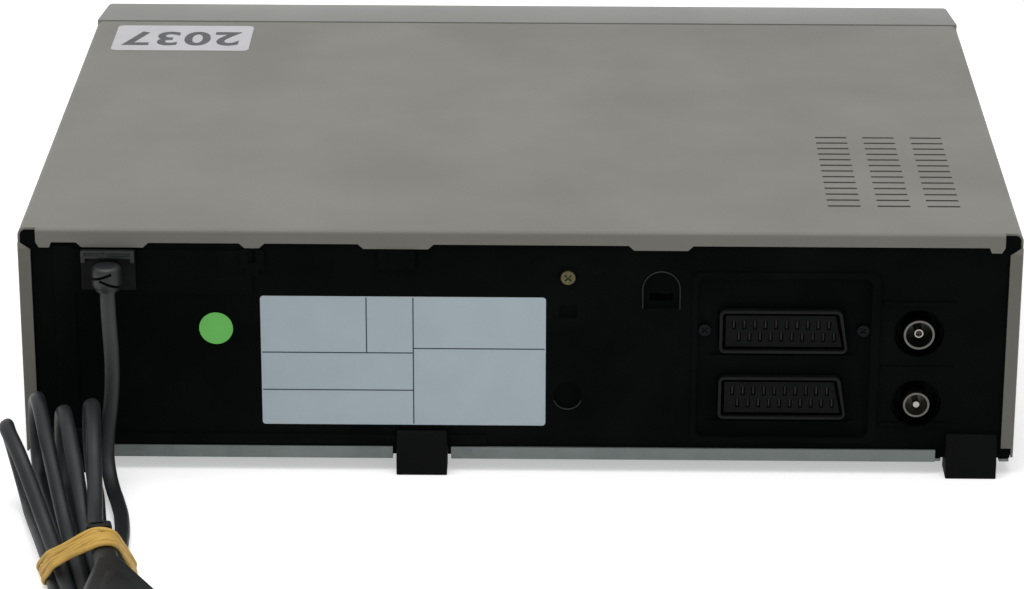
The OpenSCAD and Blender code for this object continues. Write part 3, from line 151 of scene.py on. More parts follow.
@dataclass(frozen=True)
class Finish:
    """One real finish: what it is made of and how its surface was made.

    Attributes:
        name: the material's common name and how it was made.
        colour: its colour.
        grain: how its fine relief is laid out.
        grain_mm: size of one pit, line or crystal.
        depth_mm: depth of that relief.
        roughness: how far it scatters light.
        metallic: 1 for bare metal.
        specular: strength of its gloss.
        ior: index of refraction.
        patches: how far the colour goes darker in broad patches.
        patch_mm: size of those patches.
        stretch: how much longer a drawn line is along X, Y and Z.
        centre: a point on a turned piece's axis.
        clear: how much light passes through.
        coat: strength of a clear coat.
        mapped: whether the pattern follows the piece's own UV map.
    """

    name: str
    colour: str
    grain: Grain
    grain_mm: float
    depth_mm: float
    roughness: float
    metallic: float = 0.0
    specular: float = 0.5
    ior: float = 1.5
    patches: float = 0.12
    patch_mm: float = 35.0
    stretch: tuple[float, float, float] = (1.0, 1.0, 1.0)
    centre: tuple[float, float, float] = (0.0, 0.0, 0.0)
    clear: float = 0.0
    coat: float = 0.0
    mapped: bool = False

    def place(self, tree: Tree) -> Socket:
        """Gives the coordinates that the pattern is laid on, in metres.

        Args:
            tree: the material's node tree.

        Returns:
            A vector socket.
        """
        source = add(tree, "ShaderNodeTexCoord")
        where = source.outputs["UV" if self.mapped else "Object"]
        shift = [-value / 1000 for value in self.centre]
        return add(tree, "ShaderNodeMapping", {"Vector": where, "Location": shift}).outputs[0]

    def relief(self, tree: Tree, where: Socket) -> Socket:
        """Draws the fine relief.

        Args:
            tree: the material's node tree.
            where: the coordinates it is laid on.

        Returns:
            A height socket, about 0 to 1.
        """
        scale = 1000 / self.grain_mm
        if self.grain is Grain.SPARKED:
            pits = add(tree, "ShaderNodeTexVoronoi", {"Vector": where, "Scale": scale}, feature="SMOOTH_F1")
            return pits.outputs["Distance"]
        if self.grain is Grain.CRYSTAL:
            cells = add(tree, "ShaderNodeTexVoronoi", {"Vector": where, "Scale": scale})
            return cells.outputs["Color"]
        if self.grain is Grain.TURNED:
            flat = add(tree, "ShaderNodeVectorMath", {0: where, 1: (1.0, 1.0, 0.0)}, operation="MULTIPLY")
            radius = add(tree, "ShaderNodeVectorMath", {0: flat.outputs[0]}, operation="LENGTH")
            height = add(tree, "ShaderNodeSeparateXYZ", {0: where}).outputs["Z"]
            rings = {"X": radius.outputs["Value"], "Z": height}
            where = add(tree, "ShaderNodeCombineXYZ", rings).outputs[0]
        if self.grain is Grain.DRAWN:
            shorter = [1 / value for value in self.stretch]
            where = add(tree, "ShaderNodeMapping", {"Vector": where, "Scale": shorter}).outputs[0]
        detail = 4.0 if self.grain is Grain.FIBROUS else 2.0
        noise = {"Vector": where, "Scale": scale, "Detail": detail}
        return add(tree, "ShaderNodeTexNoise", noise).outputs[0]

    def wander(self, tree: Tree, where: Socket) -> Socket:
        """Draws the broad patches of handling and age.

        Args:
            tree: the material's node tree.
            where: the coordinates they are laid on.

        Returns:
            A socket from 0 to 1.
        """
        noise = {"Vector": where, "Scale": 1000 / self.patch_mm, "Detail": 4.0}
        cloud = add(tree, "ShaderNodeTexNoise", noise)
        spread = {"Value": cloud.outputs[0], "From Min": NOISE_LOW, "From Max": NOISE_HIGH}
        return add(tree, "ShaderNodeMapRange", spread).outputs[0]

    def hue(self, ground: Ground) -> Socket:
        """Mixes the colour, darker in broad patches and in the grain.

        Args:
            ground: what it is laid over.

        Returns:
            A colour socket.
        """
        full = linear(self.colour)
        dark = [value * (1 - self.patches) for value in full[:3]] + [1.0]
        depth = {0: ground.cloud, 1: ground.relief, 2: 0.0}
        both = add(ground.tree, "ShaderNodeMath", depth, operation="MULTIPLY_ADD")
        shades = {SHARE: both.outputs[0], FIRST: full, SECOND: dark}
        return add(ground.tree, "ShaderNodeMix", shades, data_type="RGBA").outputs[MIXED]

    def material(self) -> bpy.types.Material:
        """Makes the material, or finds it if it has been made.

        Returns:
            The Blender material.
        """
        known = bpy.data.materials.get(self.name)
        if known is not None:
            return known
        made = bpy.data.materials.new(self.name)
        made.use_nodes = True
        tree = made.node_tree
        tree.nodes.clear()
        where = self.place(tree)
        relief = self.relief(tree, where)
        cloud = self.wander(tree, where)
        dull = min(1.0, self.roughness * (1 + ROUGHNESS_SWAY))
        shine = {"Value": cloud, "To Min": self.roughness * (1 - ROUGHNESS_SWAY), "To Max": dull}
        links = {
            "Base Color": self.hue(Ground(tree, where, relief, cloud)),
            "Roughness": add(tree, "ShaderNodeMapRange", shine).outputs[0],
            "Metallic": self.metallic,
            "IOR": self.ior,
            "Specular IOR Level": self.specular,
            "Transmission Weight": self.clear,
            "Coat Weight": self.coat,
        }
        if self.grain is not Grain.PLAIN:
            bump = {"Height": relief, "Strength": 1.0, "Distance": self.depth_mm / 1000}
            links["Normal"] = add(tree, "ShaderNodeBump", bump).outputs[0]
        shader = add(tree, "ShaderNodeBsdfPrincipled", links)
        add(tree, "ShaderNodeOutputMaterial", {"Surface": shader.outputs[0]})
        return made


@dataclass(frozen=True)
class BoardFinish(Finish):
    """A circuit board whose parts above one height have their own colour.

    Attributes:
        parts: colour of the parts on the board.
        level_mm: height of the board's face, or far above it where all is one colour.
        track_mm: spacing of the tracks.
        track_edge: the pattern's value where a track ends and where the laminate starts.
        track_gain: how much paler the tracks are.
    """

    parts: str = "#2a2b2c"
    level_mm: float = 9999.0
    track_mm: float = 6.0
    track_edge: tuple[float, float] = (0.08, 0.12)
    track_gain: float = 1.6

    def hue(self, ground: Ground) -> Socket:
        """Mixes the laminate, its paler tracks and the parts on it.

        Args:
            ground: what it is laid over.

        Returns:
            A colour socket.
        """
        tree, where = ground.tree, ground.where
        laminate = super().hue(ground)
        cells = {"Vector": where, "Scale": 1000 / self.track_mm}
        track = add(tree, "ShaderNodeTexVoronoi", cells, distance="MANHATTAN", feature="DISTANCE_TO_EDGE")
        low, high = self.track_edge
        thin = {"Value": track.outputs["Distance"], "From Min": low, "From Max": high}
        edge = add(tree, "ShaderNodeMapRange", thin).outputs[0]
        pale = [min(1.0, value * self.track_gain) for value in linear(self.colour)[:3]] + [1.0]
        tracks = {SHARE: edge, FIRST: pale, SECOND: laminate}
        board = add(tree, "ShaderNodeMix", tracks, data_type="RGBA").outputs[MIXED]
        height = add(tree, "ShaderNodeSeparateXYZ", {0: where}).outputs["Z"]
        above = add(tree, "ShaderNodeMath", {0: height, 1: self.level_mm / 1000}, operation="GREATER_THAN")
        levels = {SHARE: above.outputs[0], FIRST: board, SECOND: linear(self.parts)}
        return add(tree, "ShaderNodeMix", levels, data_type="RGBA").outputs[MIXED]


@dataclass(frozen=True)
class ZonedFinish(Finish):
    """A finish whose pieces have another colour inside one box.

    Attributes:
        other: the colour in there.
        zone: the box's lowest and highest corners.
    """

    other: str = "#101112"
    zone: tuple[tuple[float, float, float], tuple[float, float, float]] = ((0.0, 0.0, 0.0), (1.0, 1.0, 1.0))

    def hue(self, ground: Ground) -> Socket:
        """Mixes the finish's colour with the other one inside the box.

        Args:
            ground: what it is laid over.

        Returns:
            A colour socket.
        """
        tree = ground.tree
        low, high = self.zone
        middle = metres(*[(a + b) / 2 - c for a, b, c in zip(low, high, self.centre)])
        local = add(tree, "ShaderNodeVectorMath", {0: ground.where, 1: middle}, operation="SUBTRACT")
        away = add(tree, "ShaderNodeVectorMath", {0: local.outputs[0]}, operation="ABSOLUTE")
        axes = add(tree, "ShaderNodeSeparateXYZ", {0: away.outputs[0]})
        inside = None
        for axis, a, b in zip("XYZ", low, high):
            near = {0: axes.outputs[axis], 1: (b - a) / 2000}
            test = add(tree, "ShaderNodeMath", near, operation="LESS_THAN").outputs[0]
            if inside is not None:
                test = add(tree, "ShaderNodeMath", {0: inside, 1: test}, operation="MULTIPLY").outputs[0]
            inside = test
        zones = {SHARE: inside, FIRST: super().hue(ground), SECOND: linear(self.other)}
        return add(tree, "ShaderNodeMix", zones, data_type="RGBA").outputs[MIXED]


@dataclass(frozen=True)
class WornFilm(Finish):
    """A printed film that is rubbed in a few spots near its edge.

    Attributes:
        rubbed: colour where it is rubbed through.
        middle: the label's middle.
        half: half its width and half its height.
        edge_mm: how far from its edge it is rubbed.
        spot_mm: size of the spots.
        worn: values of the spots' pattern where the rubbing starts and where it is full.
        wear: how far the full rubbing covers the film.
    """

    rubbed: str = "#b9b6c0"
    middle: tuple[float, float, float] = (0.0, 0.0, 0.0)
    half: tuple[float, float] = (50.0, 25.0)
    edge_mm: float = 2.6
    spot_mm: float = 7.0
    worn: tuple[float, float] = (0.52, 0.62)
    wear: float = 0.7

    def hue(self, ground: Ground) -> Socket:
        """Mixes the film's colour with a few rubbed spots along its edge.

        Args:
            ground: what it is laid over.

        Returns:
            A colour socket.
        """
        tree, where = ground.tree, ground.where
        film = super().hue(ground)
        local = add(tree, "ShaderNodeVectorMath", {0: where, 1: metres(*self.middle)}, operation="SUBTRACT")
        size = add(tree, "ShaderNodeVectorMath", {0: local.outputs[0]}, operation="ABSOLUTE")
        axes = add(tree, "ShaderNodeSeparateXYZ", {0: size.outputs[0]})
        near = []
        for name, half in (("X", self.half[0]), ("Z", self.half[1])):
            inner = (half - self.edge_mm) / 1000
            strip = {"Value": axes.outputs[name], "From Min": inner, "From Max": half / 1000}
            near.append(add(tree, "ShaderNodeMapRange", strip).outputs[0])
        edge = add(tree, "ShaderNodeMath", {0: near[0], 1: near[1]}, operation="MAXIMUM")
        noise = {"Vector": where, "Scale": 1000 / self.spot_mm, "Detail": 3.0}
        spots = add(tree, "ShaderNodeTexNoise", noise)
        both = add(tree, "ShaderNodeMath", {0: spots.outputs[0], 1: edge.outputs[0]}, operation="MULTIPLY")
        low, high = self.worn
        rubbing = {"Value": both.outputs[0], "From Min": low, "From Max": high, "To Max": self.wear}
        share = add(tree, "ShaderNodeMapRange", rubbing)
        worn = {SHARE: share.outputs[0], FIRST: film, SECOND: linear(self.rubbed)}
        return add(tree, "ShaderNodeMix", worn, data_type="RGBA").outputs[MIXED]


@dataclass(frozen=True)
class PaleStartFinish(Finish):
    """A finish that is paler over the first stretch of a mapped piece.

    Attributes:
        start_tone: its colour there.
        fade_mm: where the paler stretch starts to fade and where it ends, along the piece.
    """

    start_tone: str = "#3a3d3c"
    fade_mm: tuple[float, float] = (14.0, 52.0)

    def hue(self, ground: Ground) -> Socket:
        """Fades from the paler colour into the finish's own.

        Args:
            ground: what it is laid over, with the piece's length along V.

        Returns:
            A colour socket.
        """
        tree = ground.tree
        along = add(tree, "ShaderNodeSeparateXYZ", {0: ground.where}).outputs["Y"]
        start, end = self.fade_mm
        fade = {"Value": along, "From Min": start / 1000, "From Max": end / 1000}
        share = add(tree, "ShaderNodeMapRange", fade).outputs[0]
        faded = {SHARE: share, FIRST: linear(self.start_tone), SECOND: super().hue(ground)}
        return add(tree, "ShaderNodeMix", faded, data_type="RGBA").outputs[MIXED]


# Spark pits, orange peel, fibres and drawing lines are finer than a pixel on the real recorder,
# so each grain here is drawn as coarse as it needs to show.

# Stoved grey paint on pressed steel: even, hardly glossy, with a faint orange peel and smears of handling;
# the rear faces of the side flanges are a shade darker, as painted shade.
COVER_PAINT = ZonedFinish("Stoved paint on sheet steel", "#74726b", Grain.SPRAYED, 1.4, 0.006, 0.52,
                          specular=0.35, patches=0.07, patch_mm=60, other="#65635c",
                          zone=((-179.7, 137.2, 5.0), (179.7, 140.0, 86.0)))
# Black ABS from a sparked mould: swallows light, so that only its edges show.
PANEL_ABS = Finish("Black ABS moulded with a sparked grain", "#020504", Grain.SPARKED, 0.7, 0.03, 0.75,
                   specular=0.045, patches=0.3)
# Raised rims round its pockets: the same black moulding, glossier, and a shade paler than the panel as a
# painted highlight along the edges.
RIM_ABS = Finish("Black ABS rims, glossy with a painted highlight", "#0b0e0d", Grain.PLAIN, 0.7, 0.0, 0.4, specular=0.28,
                 patches=0.4, patch_mm=4)
# The foot blocks are the same moulding, rubbed shinier by shelves.
FOOT_ABS = Finish("Black ABS rubbed smooth", "#060807", Grain.SPARKED, 0.9, 0.03, 0.6, specular=0.06,
                  patches=0.3)
# Hot-dip galvanised sheet, dulled: grey, with soft crystals a few millimetres across.
GALVANISED = Finish("Galvanised sheet steel, dulled", "#6f7775", Grain.CRYSTAL, 5.0, 0.003, 0.55,
                    metallic=0.6, patches=0.16, patch_mm=25)
# Bright electro-zinc on the deck and tray sheet.
ZINC = Finish("Electro-zinc plated steel, rolled", "#a9adad", Grain.DRAWN, 0.6, 0.004, 0.38,
              metallic=1.0, patches=0.1, stretch=(14, 1, 1))
# Yellow-passivated screws, and the blackened ones that hold the sockets.
PASSIVATED = ZonedFinish("Yellow passivated and blackened screws", "#57523d", Grain.DRAWN, 0.35, 0.01, 0.42,
                         metallic=1.0, patches=0.35, patch_mm=2.0, stretch=(3, 1, 1), other="#16181a",
                         zone=((-130.0, 130.0, 50.0), (-60.0, 140.0, 60.0)))
# Sprayed silver-grey ABS of the fascia: a shade paler and smoother than the cover.
FASCIA_ABS = Finish("Silver-grey sprayed ABS", "#80817d", Grain.SPRAYED, 0.9, 0.006, 0.45, specular=0.4,
                    patches=0.05, patch_mm=50)
# The flap's moulding, a shade darker and silkier.
FLAP_ABS = Finish("Silver-grey sprayed ABS, flap", "#767673", Grain.SPRAYED, 0.9, 0.006, 0.42, specular=0.4,
                  patches=0.05, patch_mm=50)
# Button caps of plain grey ABS, polished by fingers.
BUTTON_ABS = Finish("Grey ABS button caps", "#6b6b69", Grain.SPARKED, 0.4, 0.015, 0.4,
                    patches=0.08, patch_mm=12)
# The record cap, coloured through: a muted red, with the same polish.
RECORD_ABS = Finish("Red ABS button cap", "#a33b33", Grain.SPARKED, 0.4, 0.015, 0.4,
                    patches=0.08, patch_mm=12)
# Smoked acrylic of the display: near black, glassy, with the tube just visible behind it.
SMOKED = Finish("Smoked acrylic", "#0c0c0e", Grain.PLAIN, 1.0, 0.0, 0.08, specular=0.25, ior=1.49,
                clear=0.3, patches=0.05)
# Glass of the vacuum display tube, dark blue-green over its grid.
TUBE_GLASS = Finish("Display tube glass", "#1f3138", Grain.DRAWN, 0.5, 0.01, 0.08, ior=1.52, patches=0.4,
                    stretch=(1, 1, 30))
# Brown paper-phenolic laminate with paler tracks and its parts: dark ones, or grey cans on the main board.
FRONT_LAMINATE = BoardFinish("Paper phenolic front board", "#76592a", Grain.FIBROUS, 1.2, 0.01, 0.6)
MAIN_LAMINATE = BoardFinish("Paper phenolic main board", "#7c5f2f", Grain.FIBROUS, 1.2, 0.01, 0.6,
                            parts="#8f9496", level_mm=16.7)
POWER_LAMINATE = BoardFinish("Paper phenolic power board", "#8a6a34", Grain.FIBROUS, 1.2, 0.01, 0.6,
                             parts="#23272c", level_mm=21.7)
# Satin printed film of the rating plate, rubbed in places along its edge.
RATING_FILM = WornFilm("Printed polyester film", "#adbcc3", Grain.FIBROUS, 0.8, 0.003, 0.42, patches=0.08,
                       patch_mm=14, middle=(42.0, 136.7, 43.0), half=(51.5, 25.0))
# Dark blue ink of the thin rules on the film.
NAVY_INK = Finish("Navy screen ink", "#1f2740", Grain.FIBROUS, 0.5, 0.003, 0.5, patches=0.2, patch_mm=4)
# Green paper dot, bright and matt.
GREEN_PAPER = Finish("Green paper sticker", "#6dc45e", Grain.FIBROUS, 0.5, 0.008, 0.7,
                     patches=0.06, patch_mm=5)
# White paper sticker, a little grey, and its printed figures.
WHITE_PAPER = Finish("White paper sticker", "#bdbcc0", Grain.FIBROUS, 0.6, 0.008, 0.6,
                     patches=0.07, patch_mm=12)
GREY_INK = Finish("Grey toner", "#47484c", Grain.FIBROUS, 0.4, 0.004, 0.6, patches=0.25, patch_mm=3)
# Socket shells of black glass-filled PBT, a touch glossier than the panel.
SOCKET_PBT = Finish("Black glass-filled PBT shells", "#080a09", Grain.SPARKED, 0.5, 0.02, 0.5,
                    specular=0.14, patches=0.25, patch_mm=10)
# The contact blocks inside them, flatter black.
INSERT_PBT = Finish("Black PBT contact block", "#070809", Grain.SPARKED, 0.4, 0.015, 0.55, specular=0.08,
                    patches=0.3, patch_mm=8)
# Tin-plated contact blades, dulled, with their colour painted dark as the shade deep inside the sockets.
CONTACT_TIN = Finish("Tin-plated bronze", "#2b2a29", Grain.DRAWN, 0.2, 0.004, 0.45, metallic=1.0,
                     patches=0.3, patch_mm=1.5, stretch=(1, 8, 1))
# Tinplate box of the modulator: pale and bright, with its face behind the sockets painted black as the
# shade seen through the panel's holes.
TINPLATE = ZonedFinish("Tinplate, painted shade behind the sockets", "#b0b4b5", Grain.DRAWN, 0.8, 0.003, 0.3,
                       metallic=1.0, patches=0.15, stretch=(10, 1, 1), other="#050606",
                       zone=((-175.0, 125.5, 5.0), (-115.0, 140.0, 90.0)))
# Nickel sleeves of the aerial sockets: bright at the rim, with painted shade down the bore of the upper
# one.
NICKEL = ZonedFinish("Nickel-plated brass sleeve", "#63625d", Grain.DRAWN, 0.3, 0.003, 0.34,
                     metallic=1.0, patches=0.35, patch_mm=3, stretch=(1, 9, 1), other="#343431",
                     zone=((-175.0, 100.0, 38.0), (-115.0, 137.6, 90.0)))
# Their centre contacts, paler and smoother.
AERIAL_CONTACT = Finish("Tin-plated centre contact", "#a3a29a", Grain.DRAWN, 0.2, 0.003, 0.28,
                        metallic=1.0, patches=0.2, patch_mm=1.0, stretch=(1, 8, 1))
# Plate of the strain relief, as dark as the panel.
RELIEF_PLATE = Finish("Black nylon plate", "#070908", Grain.SPARKED, 0.5, 0.015, 0.6, specular=0.1,
                      patches=0.2, patch_mm=6)
# Its bracket and elbow, silkier and paler.
RELIEF_NYLON = Finish("Black moulded nylon", "#17191a", Grain.SPARKED, 0.5, 0.015, 0.45, specular=0.4,
                      patches=0.2, patch_mm=6)
# Extruded PVC of the lead: charcoal, waxy, with faint lines along its run, and paler over its first stretch
# below the panel.
LEAD_PVC = PaleStartFinish("Extruded PVC sheath", "#15181a", Grain.DRAWN, 0.9, 0.02, 0.5, specular=0.3,
                       patches=0.35, patch_mm=18, stretch=(1, 60, 1), mapped=True)
# The plug's moulded PVC: black, with a dull sheen.
PLUG_PVC = Finish("Moulded PVC plug", "#0a0b0c", Grain.SPARKED, 0.5, 0.02, 0.5, specular=0.22, patches=0.2,
                  patch_mm=9)
# Its pins: bright, smooth nickel.
PIN_NICKEL = Finish("Nickel-plated plug pins", "#c4c3bb", Grain.DRAWN, 0.2, 0.002, 0.22, metallic=1.0,
                    patches=0.1, patch_mm=4, stretch=(8, 8, 1))
# Pale natural rubber of the band, with the lines it was cut along.
BAND_RUBBER = Finish("Natural rubber band", "#d0a852", Grain.DRAWN, 0.5, 0.03, 0.62, specular=0.35,
                     patches=0.3, patch_mm=6, stretch=(1, 30, 1), mapped=True)
# Laminations of the transformer under dark varnish, with paler lines.
LAMINATIONS = BoardFinish("Varnished silicon-steel laminations", "#3c3f42", Grain.DRAWN, 0.5, 0.06, 0.5,
                          patches=0.2, stretch=(60, 1, 60))
# Diamond-turned aluminium of the head drum: nearly a mirror, with fine rings.
DRUM_ALLOY = Finish("Turned aluminium alloy", "#c6c9ca", Grain.TURNED, 0.25, 0.002, 0.2, metallic=1.0,
                    patches=0.06, centre=(-3.0, 73.5, 0.0))
# Ground steel of posts, arms and the capstan: bright, with faint lines along them.
GROUND_STEEL = Finish("Ground steel", "#b2b6b8", Grain.DRAWN, 0.2, 0.002, 0.22, metallic=1.0, patches=0.1,
                      patch_mm=10, stretch=(1, 1, 6))
# Zinc-plated cans of the motors: grey, with faint lines up and down.
MOTOR_STEEL = Finish("Zinc-plated motor cans", "#8e9294", Grain.DRAWN, 0.6, 0.003, 0.36, metallic=1.0,
                     patches=0.12, stretch=(1, 1, 12))
# Lapped faces of the fixed heads: dark and glossy.
HEAD_METAL = Finish("Lapped nickel-iron heads", "#6d7072", Grain.DRAWN, 0.2, 0.002, 0.18, metallic=1.0,
                    patches=0.1, patch_mm=8, stretch=(1, 1, 12))
# Natural white acetal of gears and reel tables, faintly waxy.
ACETAL = Finish("Natural acetal mouldings", "#e2dfd6", Grain.SPARKED, 0.6, 0.01, 0.38,
                patches=0.05, patch_mm=15)
# Ground rubber of the pinch roller and the idler wheel: dull black, with fine rings.
ROLLER_RUBBER = Finish("Ground chloroprene rubber", "#2c2a28", Grain.TURNED, 0.3, 0.01, 0.75, specular=0.3,
                       patches=0.15, patch_mm=8, centre=(76.4, 34.8, 0.0))

# ---------------------------------------------------------- making pieces


def alone(piece: Piece) -> Piece:
    """Selects one object and nothing else.

    Args:
        piece: the object.

    Returns:
        The same object.
    """
    if bpy.context.object is not None and bpy.context.object.mode != "OBJECT":
        bpy.ops.object.mode_set(mode="OBJECT")
    bpy.ops.object.select_all(action="DESELECT")
    piece.select_set(True)
    bpy.context.view_layer.objects.active = piece
    return piece


def settled(piece: Piece, name: str) -> Piece:
    """Names a piece and moves its place, turn and size into its mesh.

    Args:
        piece: the object.
        name: its new name.

    Returns:
        The same object.
    """
    alone(piece)
    bpy.ops.object.transform_apply(location=True, rotation=True, scale=True)
    piece.name = name
    piece.data.name = name
    return piece


def block(name: str, low: Point, high: Point) -> Piece:
    """Adds a block between two corners.

    Args:
        name: its name.
        low: its lowest corner.
        high: its highest corner.

    Returns:
        The block.
    """
    bpy.ops.object.select_all(action="DESELECT")
    middle = metres(*[(a + b) / 2 for a, b in zip(low, high)])
    bpy.ops.mesh.primitive_cube_add(size=1, location=middle)
    piece = bpy.context.object
    piece.scale = metres(*[b - a for a, b in zip(low, high)])
    return settled(piece, name)


def bar(name: str, start: Point, end: Point, radius: float, sides: int = 48) -> Piece:
    """Adds a round bar between two points.

    Args:
        name: its name.
        start: the middle of one end.
        end: the middle of the other end.
        radius: its radius.
        sides: how many flats it is made of.

    Returns:
        The bar.
    """
    run = metres(*end) - metres(*start)
    bpy.ops.object.select_all(action="DESELECT")
    bpy.ops.mesh.primitive_cylinder_add(vertices=sides, radius=radius / 1000, depth=run.length)
    piece = bpy.context.object
    piece.rotation_euler = run.to_track_quat("Z", "Y").to_euler()
    piece.location = (metres(*start) + metres(*end)) / 2
    return settled(piece, name)


def marked(piece: Piece, test: Test) -> Piece:
    """Opens a piece for editing with the faces that pass a test selected.

    Args:
        piece: the piece.
        test: takes a face's middle, in millimetres, and its normal.

    Returns:
        The same piece, in edit mode.
    """
    alone(piece)
    bpy.ops.object.mode_set(mode="EDIT")
    bpy.ops.mesh.select_mode(type="FACE")
    bpy.ops.mesh.select_all(action="DESELECT")
    bpy.ops.object.mode_set(mode="OBJECT")
    for face in piece.data.polygons:
        face.select = test(face.center * 1000, face.normal)
    bpy.ops.object.mode_set(mode="EDIT")
    return piece


def done(piece: Piece) -> Piece:
    """Leaves edit mode and gives the piece back."""
    bpy.ops.object.mode_set(mode="OBJECT")
    return piece


def outward(piece: Piece) -> Piece:
    """Merges doubled points and turns all faces outwards.

    Args:
        piece: the piece.

    Returns:
        The same piece.
    """
    alone(piece)
    bpy.ops.object.mode_set(mode="EDIT")
    bpy.ops.mesh.select_all(action="SELECT")
    bpy.ops.mesh.remove_doubles(threshold=WELD_M)
    bpy.ops.mesh.normals_make_consistent(inside=False)
    return done(piece)


def worked(piece: Piece, kind: str, **settings: object) -> Piece:
    """Adds a modifier and applies it.

    Args:
        piece: the piece.
        kind: the modifier's type.
        settings: its settings.

    Returns:
        The same piece.
    """
    alone(piece)
    modifier = piece.modifiers.new(kind.lower(), kind)
    for key, value in settings.items():
        setattr(modifier, key, value)
    bpy.ops.object.modifier_apply(modifier=modifier.name)
    return piece


def eased(piece: Piece, width: float, segments: int = 3, angle: float = 30) -> Piece:
    """Rounds a piece's edges.

    Args:
        piece: the piece.
        width: how far the rounding reaches, in millimetres.
        segments: how many flats it is made of.
        angle: the least angle of an edge that is rounded, in degrees.

    Returns:
        The same piece.
    """
    worked(piece, "BEVEL", width=width / 1000, segments=segments, limit_method="ANGLE",
           angle_limit=math.radians(angle))
    return smooth(piece)


def smooth(piece: Piece, angle: float = 35) -> Piece:
    """Shades a piece smooth, except across its sharp edges.

    Args:
        piece: the piece.
        angle: the least angle of an edge that stays sharp, in degrees.

    Returns:
        The same piece.
    """
    alone(piece)
    bpy.ops.object.shade_smooth_by_angle(angle=math.radians(angle))
    return piece


def cut(piece: Piece, tool: Piece) -> Piece:
    """Takes one closed shape out of another.

    Args:
        piece: the piece that is cut.
        tool: the shape taken out, which is then deleted.

    Returns:
        The cut piece.
    """
    worked(piece, "BOOLEAN", operation="DIFFERENCE", solver="EXACT", object=tool)
    bpy.data.objects.remove(tool)
    return piece


def joined(name: str, pieces: Iterable[Piece]) -> Piece:
    """Joins pieces into one.

    Args:
        name: the new piece's name.
        pieces: the pieces.

    Returns:
        The one piece.
    """
    members = list(pieces)
    alone(members[0])
    for member in members:
        member.select_set(True)
    bpy.ops.object.join()
    members[0].name = name
    members[0].data.name = name
    return members[0]


def copied(node: str, name: str) -> Piece:
    """Copies a CAD node's mesh into a new piece with merged points and whole flat faces.

    Args:
        node: the CAD node.
        name: the new piece's name.

    Returns:
        The new piece.
    """
    piece = bpy.data.objects.new(name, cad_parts[node].data.copy())
    bpy.context.scene.collection.objects.link(piece)
    alone(piece)
    bpy.ops.object.mode_set(mode="EDIT")
    bpy.ops.mesh.select_all(action="SELECT")
    bpy.ops.mesh.remove_doubles(threshold=2 * WELD_M)
    bpy.ops.mesh.dissolve_limited(angle_limit=math.radians(FLAT_TURN))
    done(piece)
    bpy.ops.mesh.customdata_custom_splitnormals_clear()
    return piece


def dress(piece: Piece, finish: Finish) -> Piece:
    """Puts a finish on a piece.

    Args:
        piece: a new piece or a CAD node's object.
        finish: the finish.

    Returns:
        The same piece.
    """
    if not piece.material_slots:
        piece.data.materials.append(finish.material())
    for slot in piece.material_slots:
        slot.material = finish.material()
    return piece


def fitted(
    piece: Piece,
    finish: Finish,
    body: str = "case",
    instead: Sequence[str] = (),
) -> Piece:
    """Finishes a new piece and lets it ride on its body.

    Args:
        piece: the new piece.
        finish: its finish.
        body: the body that it rides on.
        instead: CAD nodes that it stands for.

    Returns:
        The same piece.
    """
    dress(piece, finish)
    if instead:
        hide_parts(*instead)
    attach(piece, body)
    log.info("%s: %d faces, %s, on %s", piece.name, len(piece.data.polygons), finish.name, body)
    return piece


def coated(finish: Finish, *nodes: str) -> None:
    """Puts a finish on CAD nodes, which keep their own shape.

    Args:
        finish: the finish.
        nodes: the CAD nodes.
    """
    for node in nodes:
        dress(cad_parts[node], finish)
        log.info("%s: %s", node, finish.name)


# ------------------------------------------------------------------- stage


